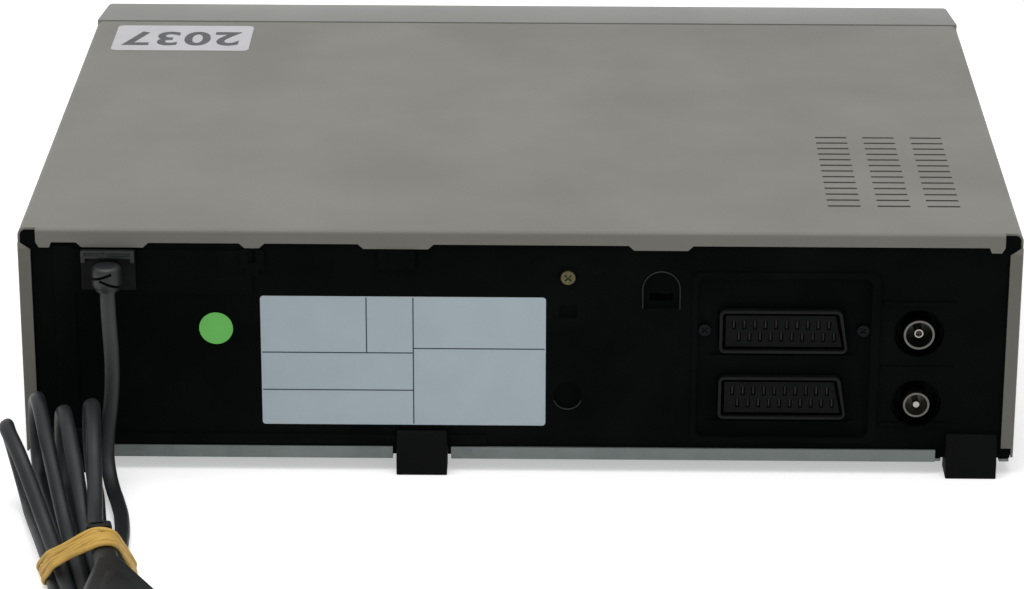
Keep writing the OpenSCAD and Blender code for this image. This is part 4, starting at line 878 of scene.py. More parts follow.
@dataclass
class Stage:
    """The floor, soft light and the camera where the photographer stood.

    Attributes:
        eye: the camera's place.
        picture_px: width of the picture.
        focal_px: focal length over one pixel of that picture.
        sensor_mm: width of the camera's sensor.
        reach_m: nearest and farthest distance that the camera sees.
        yaw: turn of the camera about the upright, in radians.
        pitch: how far it looks down, in radians.
        roll: its tilt, in radians.
        sky: strength of the light from all round.
        lamp_watts: power of the soft lamp overhead.
        lamp_size: width of that lamp, in metres.
        lamp_at: its place, in metres.
        lamp_tilt: its turn about X and Y, in degrees.
        floor_size: width of the floor, in metres.
        floor_white: its colour.
        floor_lift: how far the floor glows to the eye, so that it shows white.
    """

    eye: tuple[float, float, float] = (-13.3153, 1409.9352, 564.5221)
    picture_px: int = 1024
    focal_px: float = 3800.0
    sensor_mm: float = 36.0
    reach_m: tuple[float, float] = (0.05, 50.0)
    yaw: float = 0.0126
    pitch: float = 0.371
    roll: float = 0.002
    sky: float = 0.44
    lamp_watts: float = 18.0
    lamp_size: float = 1.6
    lamp_at: tuple[float, float, float] = (0.15, 0.25, 1.6)
    lamp_tilt: tuple[float, float] = (-9.0, 5.0)
    floor_size: float = 12.0
    floor_white: str = "#f2f2f2"
    floor_lift: float = 0.42

    def build(self) -> None:
        """Makes the camera, the lights and the floor."""
        self.camera()
        self.world()
        self.lamp()
        self.floor()
        bpy.context.scene.view_settings.view_transform = "Standard"

    def camera(self) -> None:
        """Places the camera, which looks along -Y with the picture's right along -X."""
        right = Vector((-math.cos(self.yaw), -math.sin(self.yaw), 0))
        level = Vector((-math.sin(self.yaw), math.cos(self.yaw), 0))
        top = Vector((0, 0, 1))
        back = level * math.cos(self.pitch) + top * math.sin(self.pitch)
        up = top * math.cos(self.pitch) - level * math.sin(self.pitch)
        across = right * math.cos(self.roll) + up * math.sin(self.roll)
        over = up * math.cos(self.roll) - right * math.sin(self.roll)
        lens = bpy.data.cameras.new("camera")
        lens.sensor_width = self.sensor_mm
        lens.lens = self.focal_px * self.sensor_mm / self.picture_px
        lens.clip_start, lens.clip_end = self.reach_m
        seen = bpy.data.objects.new("camera", lens)
        bpy.context.scene.collection.objects.link(seen)
        turn = Matrix((across, over, back)).transposed().to_4x4()
        seen.matrix_world = Matrix.Translation(metres(*self.eye)) @ turn
        bpy.context.scene.camera = seen

    def world(self) -> None:
        """Lights the object evenly from all round, and shows white to the eye and to gloss."""
        world = bpy.data.worlds.new("studio")
        bpy.context.scene.world = world
        world.use_nodes = True
        tree = world.node_tree
        tree.nodes.clear()
        shown = self.shown(tree)
        strength = add(tree, "ShaderNodeMapRange", {"Value": shown, "To Min": self.sky, "To Max": 1.0})
        white = {"Color": linear("#ffffff"), "Strength": strength.outputs[0]}
        light = add(tree, "ShaderNodeBackground", white)
        add(tree, "ShaderNodeOutputWorld", {"Surface": light.outputs[0]})

    def shown(self, tree: Tree) -> Socket:
        """Gives 1 for what the camera, gloss or glass sees.

        Args:
            tree: the node tree it is made in.

        Returns:
            A socket of 0 or 1.
        """
        path = add(tree, "ShaderNodeLightPath")
        first = {0: path.outputs["Is Camera Ray"], 1: path.outputs["Is Glossy Ray"]}
        two = add(tree, "ShaderNodeMath", first, operation="MAXIMUM")
        second = {0: two.outputs[0], 1: path.outputs["Is Transmission Ray"]}
        return add(tree, "ShaderNodeMath", second, operation="MAXIMUM").outputs[0]

    def lamp(self) -> None:
        """Hangs one broad soft lamp over the recorder, a little behind it."""
        light = bpy.data.lights.new("softbox", "AREA")
        light.shape = "DISK"
        light.size = self.lamp_size
        light.energy = self.lamp_watts
        hung = bpy.data.objects.new("softbox", light)
        bpy.context.scene.collection.objects.link(hung)
        hung.location = self.lamp_at
        hung.rotation_euler = (*[math.radians(angle) for angle in self.lamp_tilt], 0)

    def floor(self) -> None:
        """Lays the white floor, which keeps the recorder's soft shadow."""
        bpy.ops.object.select_all(action="DESELECT")
        bpy.ops.mesh.primitive_plane_add(size=self.floor_size)
        floor = settled(bpy.context.object, "floor")
        paper = bpy.data.materials.new("White paper backdrop")
        paper.use_nodes = True
        tree = paper.node_tree
        tree.nodes.clear()
        matt = add(tree, "ShaderNodeBsdfDiffuse", {"Color": linear(self.floor_white)})
        lift = add(tree, "ShaderNodeMath", {0: self.shown(tree), 1: self.floor_lift}, operation="MULTIPLY")
        glow = add(tree, "ShaderNodeEmission", {"Color": linear("#ffffff"), "Strength": lift.outputs[0]})
        both = add(tree, "ShaderNodeAddShader", {0: matt.outputs[0], 1: glow.outputs[0]})
        add(tree, "ShaderNodeOutputMaterial", {"Surface": both.outputs[0]})
        floor.data.materials.append(paper)


# -------------------------------------------------------------- mains lead


def ease(share: float) -> float:
    """Rises softly from 0 to 1 as its share does, whatever the share's sign."""
    return 0.5 - 0.5 * math.cos(math.pi * min(1.0, abs(share)))


def curved(points: Sequence[Vector], steps: int) -> list[Vector]:
    """Runs a smooth curve through points.

    Args:
        points: the points.
        steps: how many pieces each stretch is cut into.

    Returns:
        Points along the curve.
    """
    ends = [2 * points[0] - points[1], *points, 2 * points[-1] - points[-2]]
    made = []
    for a, b, c, d in zip(ends, ends[1:], ends[2:], ends[3:]):
        t0, t1, t2 = (b - a).length ** 0.5, (c - b).length ** 0.5, (d - c).length ** 0.5
        leave = c - b + ((b - a) / t0 - (c - a) / (t0 + t1)) * t1
        reach = c - b + ((d - c) / t2 - (d - b) / (t1 + t2)) * t1
        for k in range(steps):
            t = k / steps
            made.append(
                b * (2 * t**3 - 3 * t**2 + 1) + leave * (t**3 - 2 * t**2 + t)
                + c * (3 * t**2 - 2 * t**3) + reach * (t**3 - t**2)
            )
    made.append(points[-1].copy())
    return made


def swept(
    name: str,
    path: Sequence[Vector],
    section: Sequence[tuple[float, float]],
    side: Vector,
    closed: bool = False,
) -> Piece:
    """Sweeps a closed section along a path, with a UV map in metres.

    Args:
        name: the piece's name.
        path: points in metres.
        section: the section's corners, as offsets to the side and over it, in metres.
        side: the side direction at the start.
        closed: whether the path is a ring.

    Returns:
        The tube.
    """
    count, sides = len(path), len(section)
    spans = count if closed else count - 1
    verts, along = [], [0.0]
    across = side
    for i, point in enumerate(path):
        after = path[(i + 1) % count] if closed else path[min(i + 1, count - 1)]
        before = path[i - 1] if closed or i else path[0]
        run = (after - before).normalized()
        across = (across - run * across.dot(run)).normalized()
        over = run.cross(across)
        verts += [point + across * a + over * b for a, b in section]
        along.append(along[-1] + (after - point).length)
    girth = [0.0]
    for k in range(sides):
        a, b = Vector(section[k]), Vector(section[(k + 1) % sides])
        girth.append(girth[-1] + (b - a).length)
    faces, uvs = [], []
    for i in range(spans):
        here, there = i * sides, (i + 1) % count * sides
        for k in range(sides):
            beside = (k + 1) % sides
            faces.append((here + k, here + beside, there + beside, there + k))
            uvs += [(girth[k], along[i]), (girth[k + 1], along[i])]
            uvs += [(girth[k + 1], along[i + 1]), (girth[k], along[i + 1])]
    if not closed:
        last = (count - 1) * sides
        faces += [tuple(range(sides - 1, -1, -1)), tuple(range(last, last + sides))]
        uvs += [(0.0, 0.0)] * (2 * sides)
    mesh = bpy.data.meshes.new(name)
    mesh.from_pydata(verts, [], faces)
    layer = mesh.uv_layers.new(name="UVMap")
    layer.data.foreach_set("uv", [value for uv in uvs for value in uv])
    piece = bpy.data.objects.new(name, mesh)
    bpy.context.scene.collection.objects.link(piece)
    alone(piece)
    bpy.ops.object.mode_set(mode="EDIT")
    bpy.ops.mesh.select_all(action="SELECT")
    bpy.ops.mesh.normals_make_consistent(inside=False)
    done(piece)
    return smooth(piece, 50)


def oval(width: float, height: float, sides: int, power: float = 2.3) -> list[tuple[float, float]]:
    """Gives the corners of an oval that is a little squarer than an ellipse.

    Args:
        width: its width in millimetres.
        height: its height in millimetres.
        sides: how many corners.
        power: 2 for an ellipse, and more for a squarer one.

    Returns:
        The corners, in metres.
    """
    made = []
    for k in range(sides):
        turn = 2 * math.pi * (k + 0.5) / sides
        c, s = math.cos(turn), math.sin(turn)
        a = math.copysign(abs(c) ** (2 / power), c) * width / 2000
        b = math.copysign(abs(s) ** (2 / power), s) * height / 2000
        made.append((a, b))
    return made


@dataclass
class MainsLead:
    """The lead from its strain relief to the tied hank and its plug.

    The hank has its own directions: u runs back towards the case, w to the side and v up.

    Attributes:
        width: width of the flat twin lead.
        height: its thickness.
        turn_r: radius of a loop's round ends.
        far_runs: how far each loop reaches towards the case.
        far_ws: where each loop lies across there.
        near_run: how far the loops reach away from the case.
        near_flat: how far of that the strands stay together.
        entry_run: length of the first stretch of the strand that runs in from the panel.
        entry_us: where that strand is pinned after it, on its way to the band.
        low_us: where a loop's lower strand is pinned beside the band.
        high_us: where its upper strand is pinned there.
        tail: how far past the near ends the first strand stays straight.
        tail_gap: how far it then turns past the loops' round ends.
        cross_u: where an upper strand starts to cross to the next column.
        floor_z: height of the lowest strands.
        centre: the hank's place on the table.
        turned: turn of the hank, in degrees.
        waist_pitch: spacing of the strands under the band.
        end_pitch: spacing of the near round ends.
        rise: how far the upper strands lie over the lower ones at the band.
        lean: tilt of the outermost round end, in degrees.
        band_u: the band's middle along the hank.
        band_w: width of the rubber band.
        band_t: thickness of one of its strands.
        strand_w: width of one of its strands.
        band_lean: how far it leans towards the case for each millimetre below the plug's top.
        band_kink: how far its strands stray from a straight line.
        neck_r: radius of the plug's neck.
        neck_u: where the lead enters the plug.
        neck_run: where the lead is pinned in line with the plug, as distances from there.
        plug_shift: how far the plug lies beside its strand.
        plug_v: height of the plug over the lowest strands.
        plug_flat: share of the plug's width that its flat faces take.
        lead: where the lead hangs, from its exit down to the table.
        steps: how many pieces each stretch of the route is cut into.
    """

    width: float = 5.4
    height: float = 4.6
    turn_r: float = 16.5
    far_runs: tuple[float, ...] = (50.0, 71.0, 57.0, 61.0)
    far_ws: tuple[float, ...] = (14.4, 8.2, 0.2, -10.2)
    near_run: float = 133.0
    near_flat: float = 95.0
    entry_run: float = 6.0
    entry_us: tuple[float, float] = (26.0, 12.0)
    low_us: tuple[float, float] = (-20.0, 12.0)
    high_us: tuple[float, float] = (36.0, 4.0)
    tail: float = 13.0
    tail_gap: float = 10.0
    cross_u: float = 68.0
    floor_z: float = 3.2
    centre: tuple[float, float] = (147.6, 228.0)
    turned: float = 13.0
    waist_pitch: float = 6.1
    end_pitch: float = 9.4
    rise: float = 6.2
    lean: float = 12.0
    band_u: float = -22.1
    band_w: float = 9.0
    band_t: float = 1.3
    strand_w: float = 1.9
    band_lean: float = 0.85
    band_kink: float = 0.6
    neck_r: float = 4.5
    neck_u: float = -8.0
    neck_run: tuple[float, float, float] = (9.0, 5.5, 0.0)
    plug_shift: float = 2.4
    plug_v: float = 16.2
    plug_flat: float = 0.74
    lead: tuple[tuple[float, float, float], ...] = (
        (147.5, 144, 72.7), (147.5, 144, 66), (147.2, 144.2, 58), (146.8, 144.6, 48),
        (146.9, 145, 38), (147.6, 146.2, 29), (148.6, 148.8, 20.5), (148.7, 153.4, 12.5),
        (147.2, 159.5, 6.8), (145.2, 166, 3.9), (143.4, 172.2, 3.2), (142, 178.2, 3.2),
    )
    steps: int = 6

    def point(self, u: float, w: float, v: float, tilt: float = 0.0) -> Vector:
        """Turns a place in the hank's own directions into the frame's, in millimetres.

        Args:
            u: distance from the band towards the case.
            w: distance to the side.
            v: height over the lowest strands.
            tilt: how far the height leans over to the side, in degrees.

        Returns:
            The point.
        """
        turn = math.radians(self.turned)
        lean = math.radians(tilt)
        side = w + v * math.sin(lean)
        return Vector((
            self.centre[0] + u * math.sin(turn) + side * math.cos(turn),
            self.centre[1] - u * math.cos(turn) + side * math.sin(turn),
            self.floor_z + v * math.cos(lean),
        ))

    @property
    def loops(self) -> int:
        """Counts the loops of the hank."""
        return len(self.far_runs)

    @property
    def plug_w(self) -> float:
        """Gives the sideways place of the plug."""
        return self.column(0, self.loops - 1, self.loops - 1) + self.plug_shift

    def near_share(self, u: float) -> float:
        """Says how far the strands have opened away from the case, from 0 to 1."""
        return max(0.0, -u - self.near_flat) / (self.near_run - self.near_flat)

    def far_share(self, u: float, loop: int) -> float:
        """Says how far a loop's strands have opened towards the case, from 0 to 1."""
        return max(0.0, u) / self.far_runs[loop]

    def far_place(self, number: float) -> float:
        """Gives the sideways place of a column at its far end.

        Args:
            number: the column, which may lie between two loops' places.

        Returns:
            The place, in millimetres.
        """
        number = min(max(number, 0.0), self.loops - 1.0)
        left = min(int(number), self.loops - 2)
        return self.far_ws[left] + (self.far_ws[left + 1] - self.far_ws[left]) * (number - left)

    def column(self, u: float, number: float, loop: int) -> float:
        """Gives the sideways place of a column of strands.

        Args:
            u: distance along the hank.
            number: the column, counted from the outer side.
            loop: the loop that the strand belongs to.

        Returns:
            The place, in millimetres.
        """
        places = self.loops / 2 - number
        if u > 0:
            share = ease(self.far_share(u, loop))
            return places * self.waist_pitch * (1 - share) + self.far_place(number) * share
        return places * (self.waist_pitch + (self.end_pitch - self.waist_pitch) * ease(self.near_share(u)))

    def top(self, u: float, loop: int) -> float:
        """Gives the height of a loop's upper strand over its lower one, in millimetres."""
        share = self.far_share(u, loop) if u > 0 else self.near_share(u)
        return self.rise + (2 * self.turn_r - self.rise) * ease(share)

    def crossed(self, u: float) -> float:
        """Says how far an upper strand has crossed to the next column, from 0 to 1."""
        return ease(max(0.0, self.cross_u - u) / (self.cross_u + self.near_run))

    def strand(self, u: float, number: float, v: float, loop: int) -> Vector:
        """Gives a point of a strand in a loop's column, leaning out if the loop is the outermost."""
        tilt = 0.0 if loop else self.lean * ease(self.far_share(u, loop))
        return self.point(u, self.column(u, number, loop), v, tilt)

    def first_run(self) -> list[Vector]:
        """Runs the lead under the band and round to the first loop.

        Returns:
            The points, in millimetres.
        """
        turn = math.radians(self.turned)
        away = Vector(self.lead[-1][:2]) - Vector(self.centre)
        start_u = away.dot(Vector((math.sin(turn), -math.cos(turn))))
        start_w = away.dot(Vector((math.cos(turn), math.sin(turn))))
        last = self.loops - 1
        waist_w = self.column(0, self.loops, last)
        made = []
        level = start_u - self.entry_run
        for u in (start_u, level, *self.entry_us):
            made.append(self.point(u, waist_w + (start_w - waist_w) * ease(u / level), 0))
        middle = (self.near_flat + self.near_run) / 2
        for u in (0, -self.near_flat, -middle, -self.near_run, -self.near_run - self.tail):
            made.append(self.point(u, self.column(u, self.loops, last), 0))
        wide = self.loops / 2 * self.end_pitch
        near = -self.near_run - self.turn_r - self.tail_gap
        for k in range(13):
            angle = math.pi * k / 12
            made.append(self.point(near - wide * math.sin(angle), -wide * math.cos(angle), 0))
        return made

    def loop(self, number: int) -> list[Vector]:
        """Runs one loop of the hank.

        Args:
            number: which loop, from 0.

        Returns:
            The points, in millimetres.
        """
        made = [] if number else [self.strand(-self.near_run, 0, 0, 0)]
        made += [self.strand(u, number, 0, number) for u in (-self.near_flat, *self.low_us)]
        for k in range(9):
            angle = math.pi * k / 8
            reach = self.far_runs[number] + self.turn_r * math.sin(angle)
            made.append(self.strand(reach, number, self.turn_r * (1 - math.cos(angle)), number))
        if number == self.loops - 1:
            return made
        for u in (*self.high_us, -self.near_flat, -(self.near_flat + self.near_run) / 2):
            made.append(self.strand(u, number + self.crossed(u), self.top(u, number), number))
        for k in range(9):
            angle = math.pi * k / 8
            reach = -self.near_run - self.turn_r * math.sin(angle)
            made.append(self.strand(reach, number + 1, self.turn_r * (1 + math.cos(angle)), number + 1))
        return made

    def last_run(self) -> list[Vector]:
        """Brings the lead back along the top and into the plug.

        Returns:
            The points, in millimetres.
        """
        made = []
        start = self.far_runs[-1]
        straight = [self.neck_u + before for before in self.neck_run]
        for k in range(1, 6):
            t = k / 6
            height = 2 * self.turn_r * (1 - ease(t)) + self.plug_v * ease(t)
            across = self.far_ws[-1] * (1 - t) + self.plug_w * t
            made.append(self.point(start + (straight[0] - start) * t, across, height))
        return made + [self.point(u, self.plug_w, self.plug_v) for u in straight]

    def route(self) -> list[Vector]:
        """Joins the lead's stretches into its whole route.

        Returns:
            Points along the smooth route, in metres.
        """
        points = [Vector(p) for p in self.lead] + self.first_run()[1:]
        for number in range(self.loops):
            points += self.loop(number)
        points += self.last_run()
        return curved([p / 1000 for p in points], self.steps)

    def outline(self, grow: float, far: float) -> list[tuple[float, float]]:
        """Gives the line that the band takes round the bundle.

        Args:
            grow: how far it stands off the strands.
            far: distance along the hank from its middle.

        Returns:
            Points of w and v, in millimetres, in order.
        """
        table = 0.7 * self.band_t - self.floor_z
        reach = self.width / 2 + grow
        rounds = [
            (self.column(far, 0, 0), 0.0, reach), (self.column(far, self.loops, 0), 0.0, reach),
            (self.column(far, self.crossed(far), 0), self.top(far, 0), reach),
            (self.plug_w, self.plug_v, self.neck_r + grow),
        ]
        cloud = sorted({
            (round(w + r * math.cos(a), 4), round(max(table, v + r * math.sin(a)), 4))
            for w, v, r in rounds for a in [2 * math.pi * k / 24 for k in range(24)]
        })
        return hull(cloud)

    def build(self) -> None:
        """Makes the lead, its plug, its relief and its band."""
        route = self.route()
        tube = swept("mains_lead", route, oval(self.width, self.height, 16), Vector((1, 0, 0)))
        fitted(tube, LEAD_PVC, instead=["mains_cord", "cord_hank"])
        plug = self.plug()
        band = self.band()
        relief = self.relief()
        coated(PIN_NICKEL, "plug_pins")

    def band(self) -> Piece:
        """Winds the rubber band in seven strands that cross a little.

        Returns:
            The band.
        """
        strands = []
        crown = self.plug_v + self.neck_r
        # each strand's middle along the hank, its slant and how far it stands off
        laid = (
            (-5.0, 0.13, 0.75), (-3.3, 0.06, 0.95), (-1.6, 0.18, 0.75), (0.1, 0.10, 0.95),
            (1.8, 0.16, 0.75), (3.5, 0.08, 1.0), (4.6, 0.18, 1.5),
        )
        section = oval(self.strand_w, self.band_t, 10)
        for i, (middle, slant, grow) in enumerate(laid):
            line = evened(self.outline(grow, self.band_u + self.band_w / 2), 72)
            path = []
            for k, (w, v) in enumerate(line):
                kink = self.band_kink * math.sin(math.pi * k / 9 + 1.7 * i)
                lean = slant * (w - self.plug_w) + self.band_lean * (crown - v)
                path.append(self.point(self.band_u + middle + lean + kink, w, v) / 1000)
            strands.append(swept(f"strand_{i}", path, section, Vector((0, -1, 0)), closed=True))
        band = joined("rubber_band", strands)
        return fitted(band, BAND_RUBBER, instead=["cord_band"])

    def plug(self) -> Piece:
        """Draws the plug out of rings: a square collar, a round neck and a six-sided body that widens.

        Returns:
            The plug.
        """
        # stations: how far along the plug, half the width and half the height
        square, round_neck = oval(2000, 2000, 32, 9), oval(2000, 2000, 32, 2.2)
        collar = drawn_out("collar", (
            (0.0, 3.9, 3.9), (0.5, 4.45, 4.45), (3.1, 4.45, 4.45), (3.6, 3.9, 3.9),
        ), square)
        cut(collar, block("slot", (1.2, -2.6, 4.0), (2.3, 1.6, 5.0)))
        neck = drawn_out("neck", ((2.8, 3.6, 3.6), (14.0, 4.0, 4.0), (29.5, 4.4, 4.4)), round_neck)
        flat = self.plug_flat
        six = [(1.0, 0.0), (flat, 1.0), (-flat, 1.0), (-1.0, 0.0), (-flat, -1.0), (flat, -1.0)]
        body = drawn_out("body", ((28.1, 4.4, 4.4), (66.0, 17.6, 6.5), (73.9, 17.6, 6.5)), six)
        eased(body, width=1.1, angle=20)
        # low raised panel that widens with the body
        oblong = [(1.0, 1.0), (-1.0, 1.0), (-1.0, -1.0), (1.0, -1.0)]
        panel = drawn_out("panel", ((42.0, 2.0, 5.52), (66.0, 8.2, 6.85), (71.0, 8.6, 6.85)), oblong)
        piece = joined("plug_body", [collar, smooth(neck, 30), body, eased(panel, width=0.25, segments=2)])
        piece.location = self.point(self.neck_u, self.plug_w, self.plug_v) / 1000
        piece.rotation_euler = (0, 0, math.radians(90 + self.turned))
        settled(piece, "mains_plug_body")
        return fitted(piece, PLUG_PVC, instead=["mains_plug"])

    def relief(self) -> Piece:
        """Models the clip in the panel and the grooved elbow that turns the lead down.

        Returns:
            The strain relief.
        """
        x, y, z = self.lead[0]
        # plate, and the neck that holds it in the panel
        plate = eased(block("relief_plate", (x - 9.7, 137.2, 70.5), (x + 9.9, 138.5, 85.9)), width=0.5)
        neck = block("relief_neck", (x - 8.0, 132.0, 72.2), (x + 8.2, 137.3, 84.2))
        fitted(joined("relief_plate", [plate, neck]), RELIEF_PLATE)
        # bracket along the top, with two shallow pockets and turned-down ends
        bridge = block("relief_bridge", (x - 9.5, 137.9, 83.2), (x + 9.7, 140.3, 85.9))
        for low, high in ((x - 8.0, x - 0.7), (x + 0.9, x + 8.2)):
            cut(bridge, block("pocket", (low, 139.6, 84.1), (high, 141.0, 85.2)))
        ends = [
            block("end", (x + low, 137.9, 81.4), (x + low + 1.7, 140.0, 83.6)) for low in (-9.5, 8.0)
        ]
        eased(bridge, width=0.25, segments=2)
        bridge = joined("relief_bridge", [bridge, *[eased(end, width=0.3, segments=2) for end in ends]])
        # round head over the ring where the lead comes out, as heights and radii
        head = drawn_up("relief_head", (x, y), (
            (z, 3.3), (z + 0.2, 4.3), (z + 1.4, 4.7), (z + 1.9, 5.1), (z + 2.6, 5.4), (z + 7.4, 5.4),
            (z + 8.6, 5.1), (z + 9.2, 4.5), (z + 9.4, 3.6),
        ), 40)
        # two grooves: their tilt, height over the ring and shift along X
        for tilt, height, shift in ((20, 6.9, 2.4), (-24, 4.3, -2.4)):
            middle = (x + shift, y + 1.4)
            slot = bar("groove", (*middle, z + height - 0.5), (*middle, z + height + 0.5), 5.9)
            slot.rotation_euler = (0, math.radians(tilt), 0)
            turned_about(slot, (x, y, z + height))
            cut(head, slot)
        spigot = bar("relief_spigot", (x, 138.0, z + 4.6), (x, y, z + 4.6), 4.6, 40)
        piece = joined("strain_relief_moulding", [bridge, smooth(outward(head)), smooth(spigot)])
        return fitted(piece, RELIEF_NYLON, instead=["strain_relief"])


def hull(cloud: Sequence[tuple[float, float]]) -> list[tuple[float, float]]:
    """Finds the outline of a cloud of points.

    Args:
        cloud: the points, sorted.

    Returns:
        The outline, in order.
    """
    def half(points: Iterable[tuple[float, float]]) -> list[tuple[float, float]]:
        """Walks one side of the outline.

        Args:
            points: the points in the order of the walk.

        Returns:
            The side's corners, without its last one.
        """
        line: list[tuple[float, float]] = []
        for p in points:
            while len(line) > 1:
                (ax, ay), (bx, by) = line[-2], line[-1]
                if (bx - ax) * (p[1] - ay) - (by - ay) * (p[0] - ax) > 0:
                    break
                line.pop()
            line.append(p)
        return line[:-1]

    return half(cloud) + half(reversed(cloud))


def evened(line: Sequence[tuple[float, float]], count: int) -> list[tuple[float, float]]:
    """Spaces points evenly round a closed line.

    Args:
        line: the closed line's corners.
        count: how many points.

    Returns:
        The evenly spaced points.
    """
    ring = [Vector(p) for p in line] + [Vector(line[0])]
    far = [0.0]
    for a, b in zip(ring, ring[1:]):
        far.append(far[-1] + (b - a).length)
    made = []
    i = 0
    for k in range(count):
        goal = far[-1] * k / count
        while far[i + 1] < goal:
            i += 1
        share = (goal - far[i]) / (far[i + 1] - far[i])
        made.append(tuple(ring[i].lerp(ring[i + 1], share)))
    return made


def turned_about(piece: Piece, middle: Point) -> Piece:
    """Turns a piece about a point by its own set rotation, and applies it.

    Args:
        piece: the piece, with its rotation set.
        middle: the point, in millimetres.

    Returns:
        The same piece.
    """
    pin = Matrix.Translation(metres(*middle))
    piece.matrix_world = pin @ piece.rotation_euler.to_matrix().to_4x4() @ pin.inverted()
    return settled(piece, piece.name)


def drawn_out(
    name: str,
    stations: Sequence[tuple[float, float, float]],
    section: Sequence[tuple[float, float]],
) -> Piece:
    """Draws a section out along X.

    Args:
        name: the piece's name.
        stations: how far along, and the half width and half height there.
        section: the section's corners, from -1 to 1 each way.

    Returns:
        The piece, closed at both ends.
    """
    at, wide, high = stations[0]
    bpy.ops.object.select_all(action="DESELECT")
    bpy.ops.mesh.primitive_circle_add(vertices=len(section), radius=1, fill_type="NGON")
    piece = settled(bpy.context.object, name)
    for vertex, (a, b) in zip(piece.data.vertices, section):
        vertex.co = metres(at, a * wide, b * high)
    marked(piece, lambda middle, normal: True)
    for before, after in zip(stations, stations[1:]):
        step = ((after[0] - before[0]) / 1000, 0, 0)
        bpy.ops.mesh.extrude_region_move(TRANSFORM_OT_translate={"value": step})
        bpy.ops.transform.resize(value=(1, after[1] / before[1], after[2] / before[2]),
                                 center_override=(after[0] / 1000, 0, 0))
    return outward(done(piece))


def drawn_up(
    name: str,
    centre: tuple[float, float],
    stations: Sequence[tuple[float, float]],
    sides: int,
) -> Piece:
    """Draws a round section up along Z.

    Args:
        name: the piece's name.
        centre: its axis, in X and Y.
        stations: the height and radius of each ring.
        sides: corners of the section.

    Returns:
        The piece, closed at both ends.
    """
    height, radius = stations[0]
    bpy.ops.object.select_all(action="DESELECT")
    bpy.ops.mesh.primitive_circle_add(vertices=sides, radius=radius / 1000, fill_type="NGON",
                                      location=metres(*centre, height))
    piece = settled(bpy.context.object, name)
    marked(piece, lambda middle, normal: True)
    for before, after in zip(stations, stations[1:]):
        step = (0, 0, (after[0] - before[0]) / 1000)
        bpy.ops.mesh.extrude_region_move(TRANSFORM_OT_translate={"value": step})
        grow = after[1] / before[1]
        bpy.ops.transform.resize(value=(grow, grow, 1), center_override=metres(*centre, after[0]))
    return outward(done(piece))


# -------------------------------------------------------------------- case


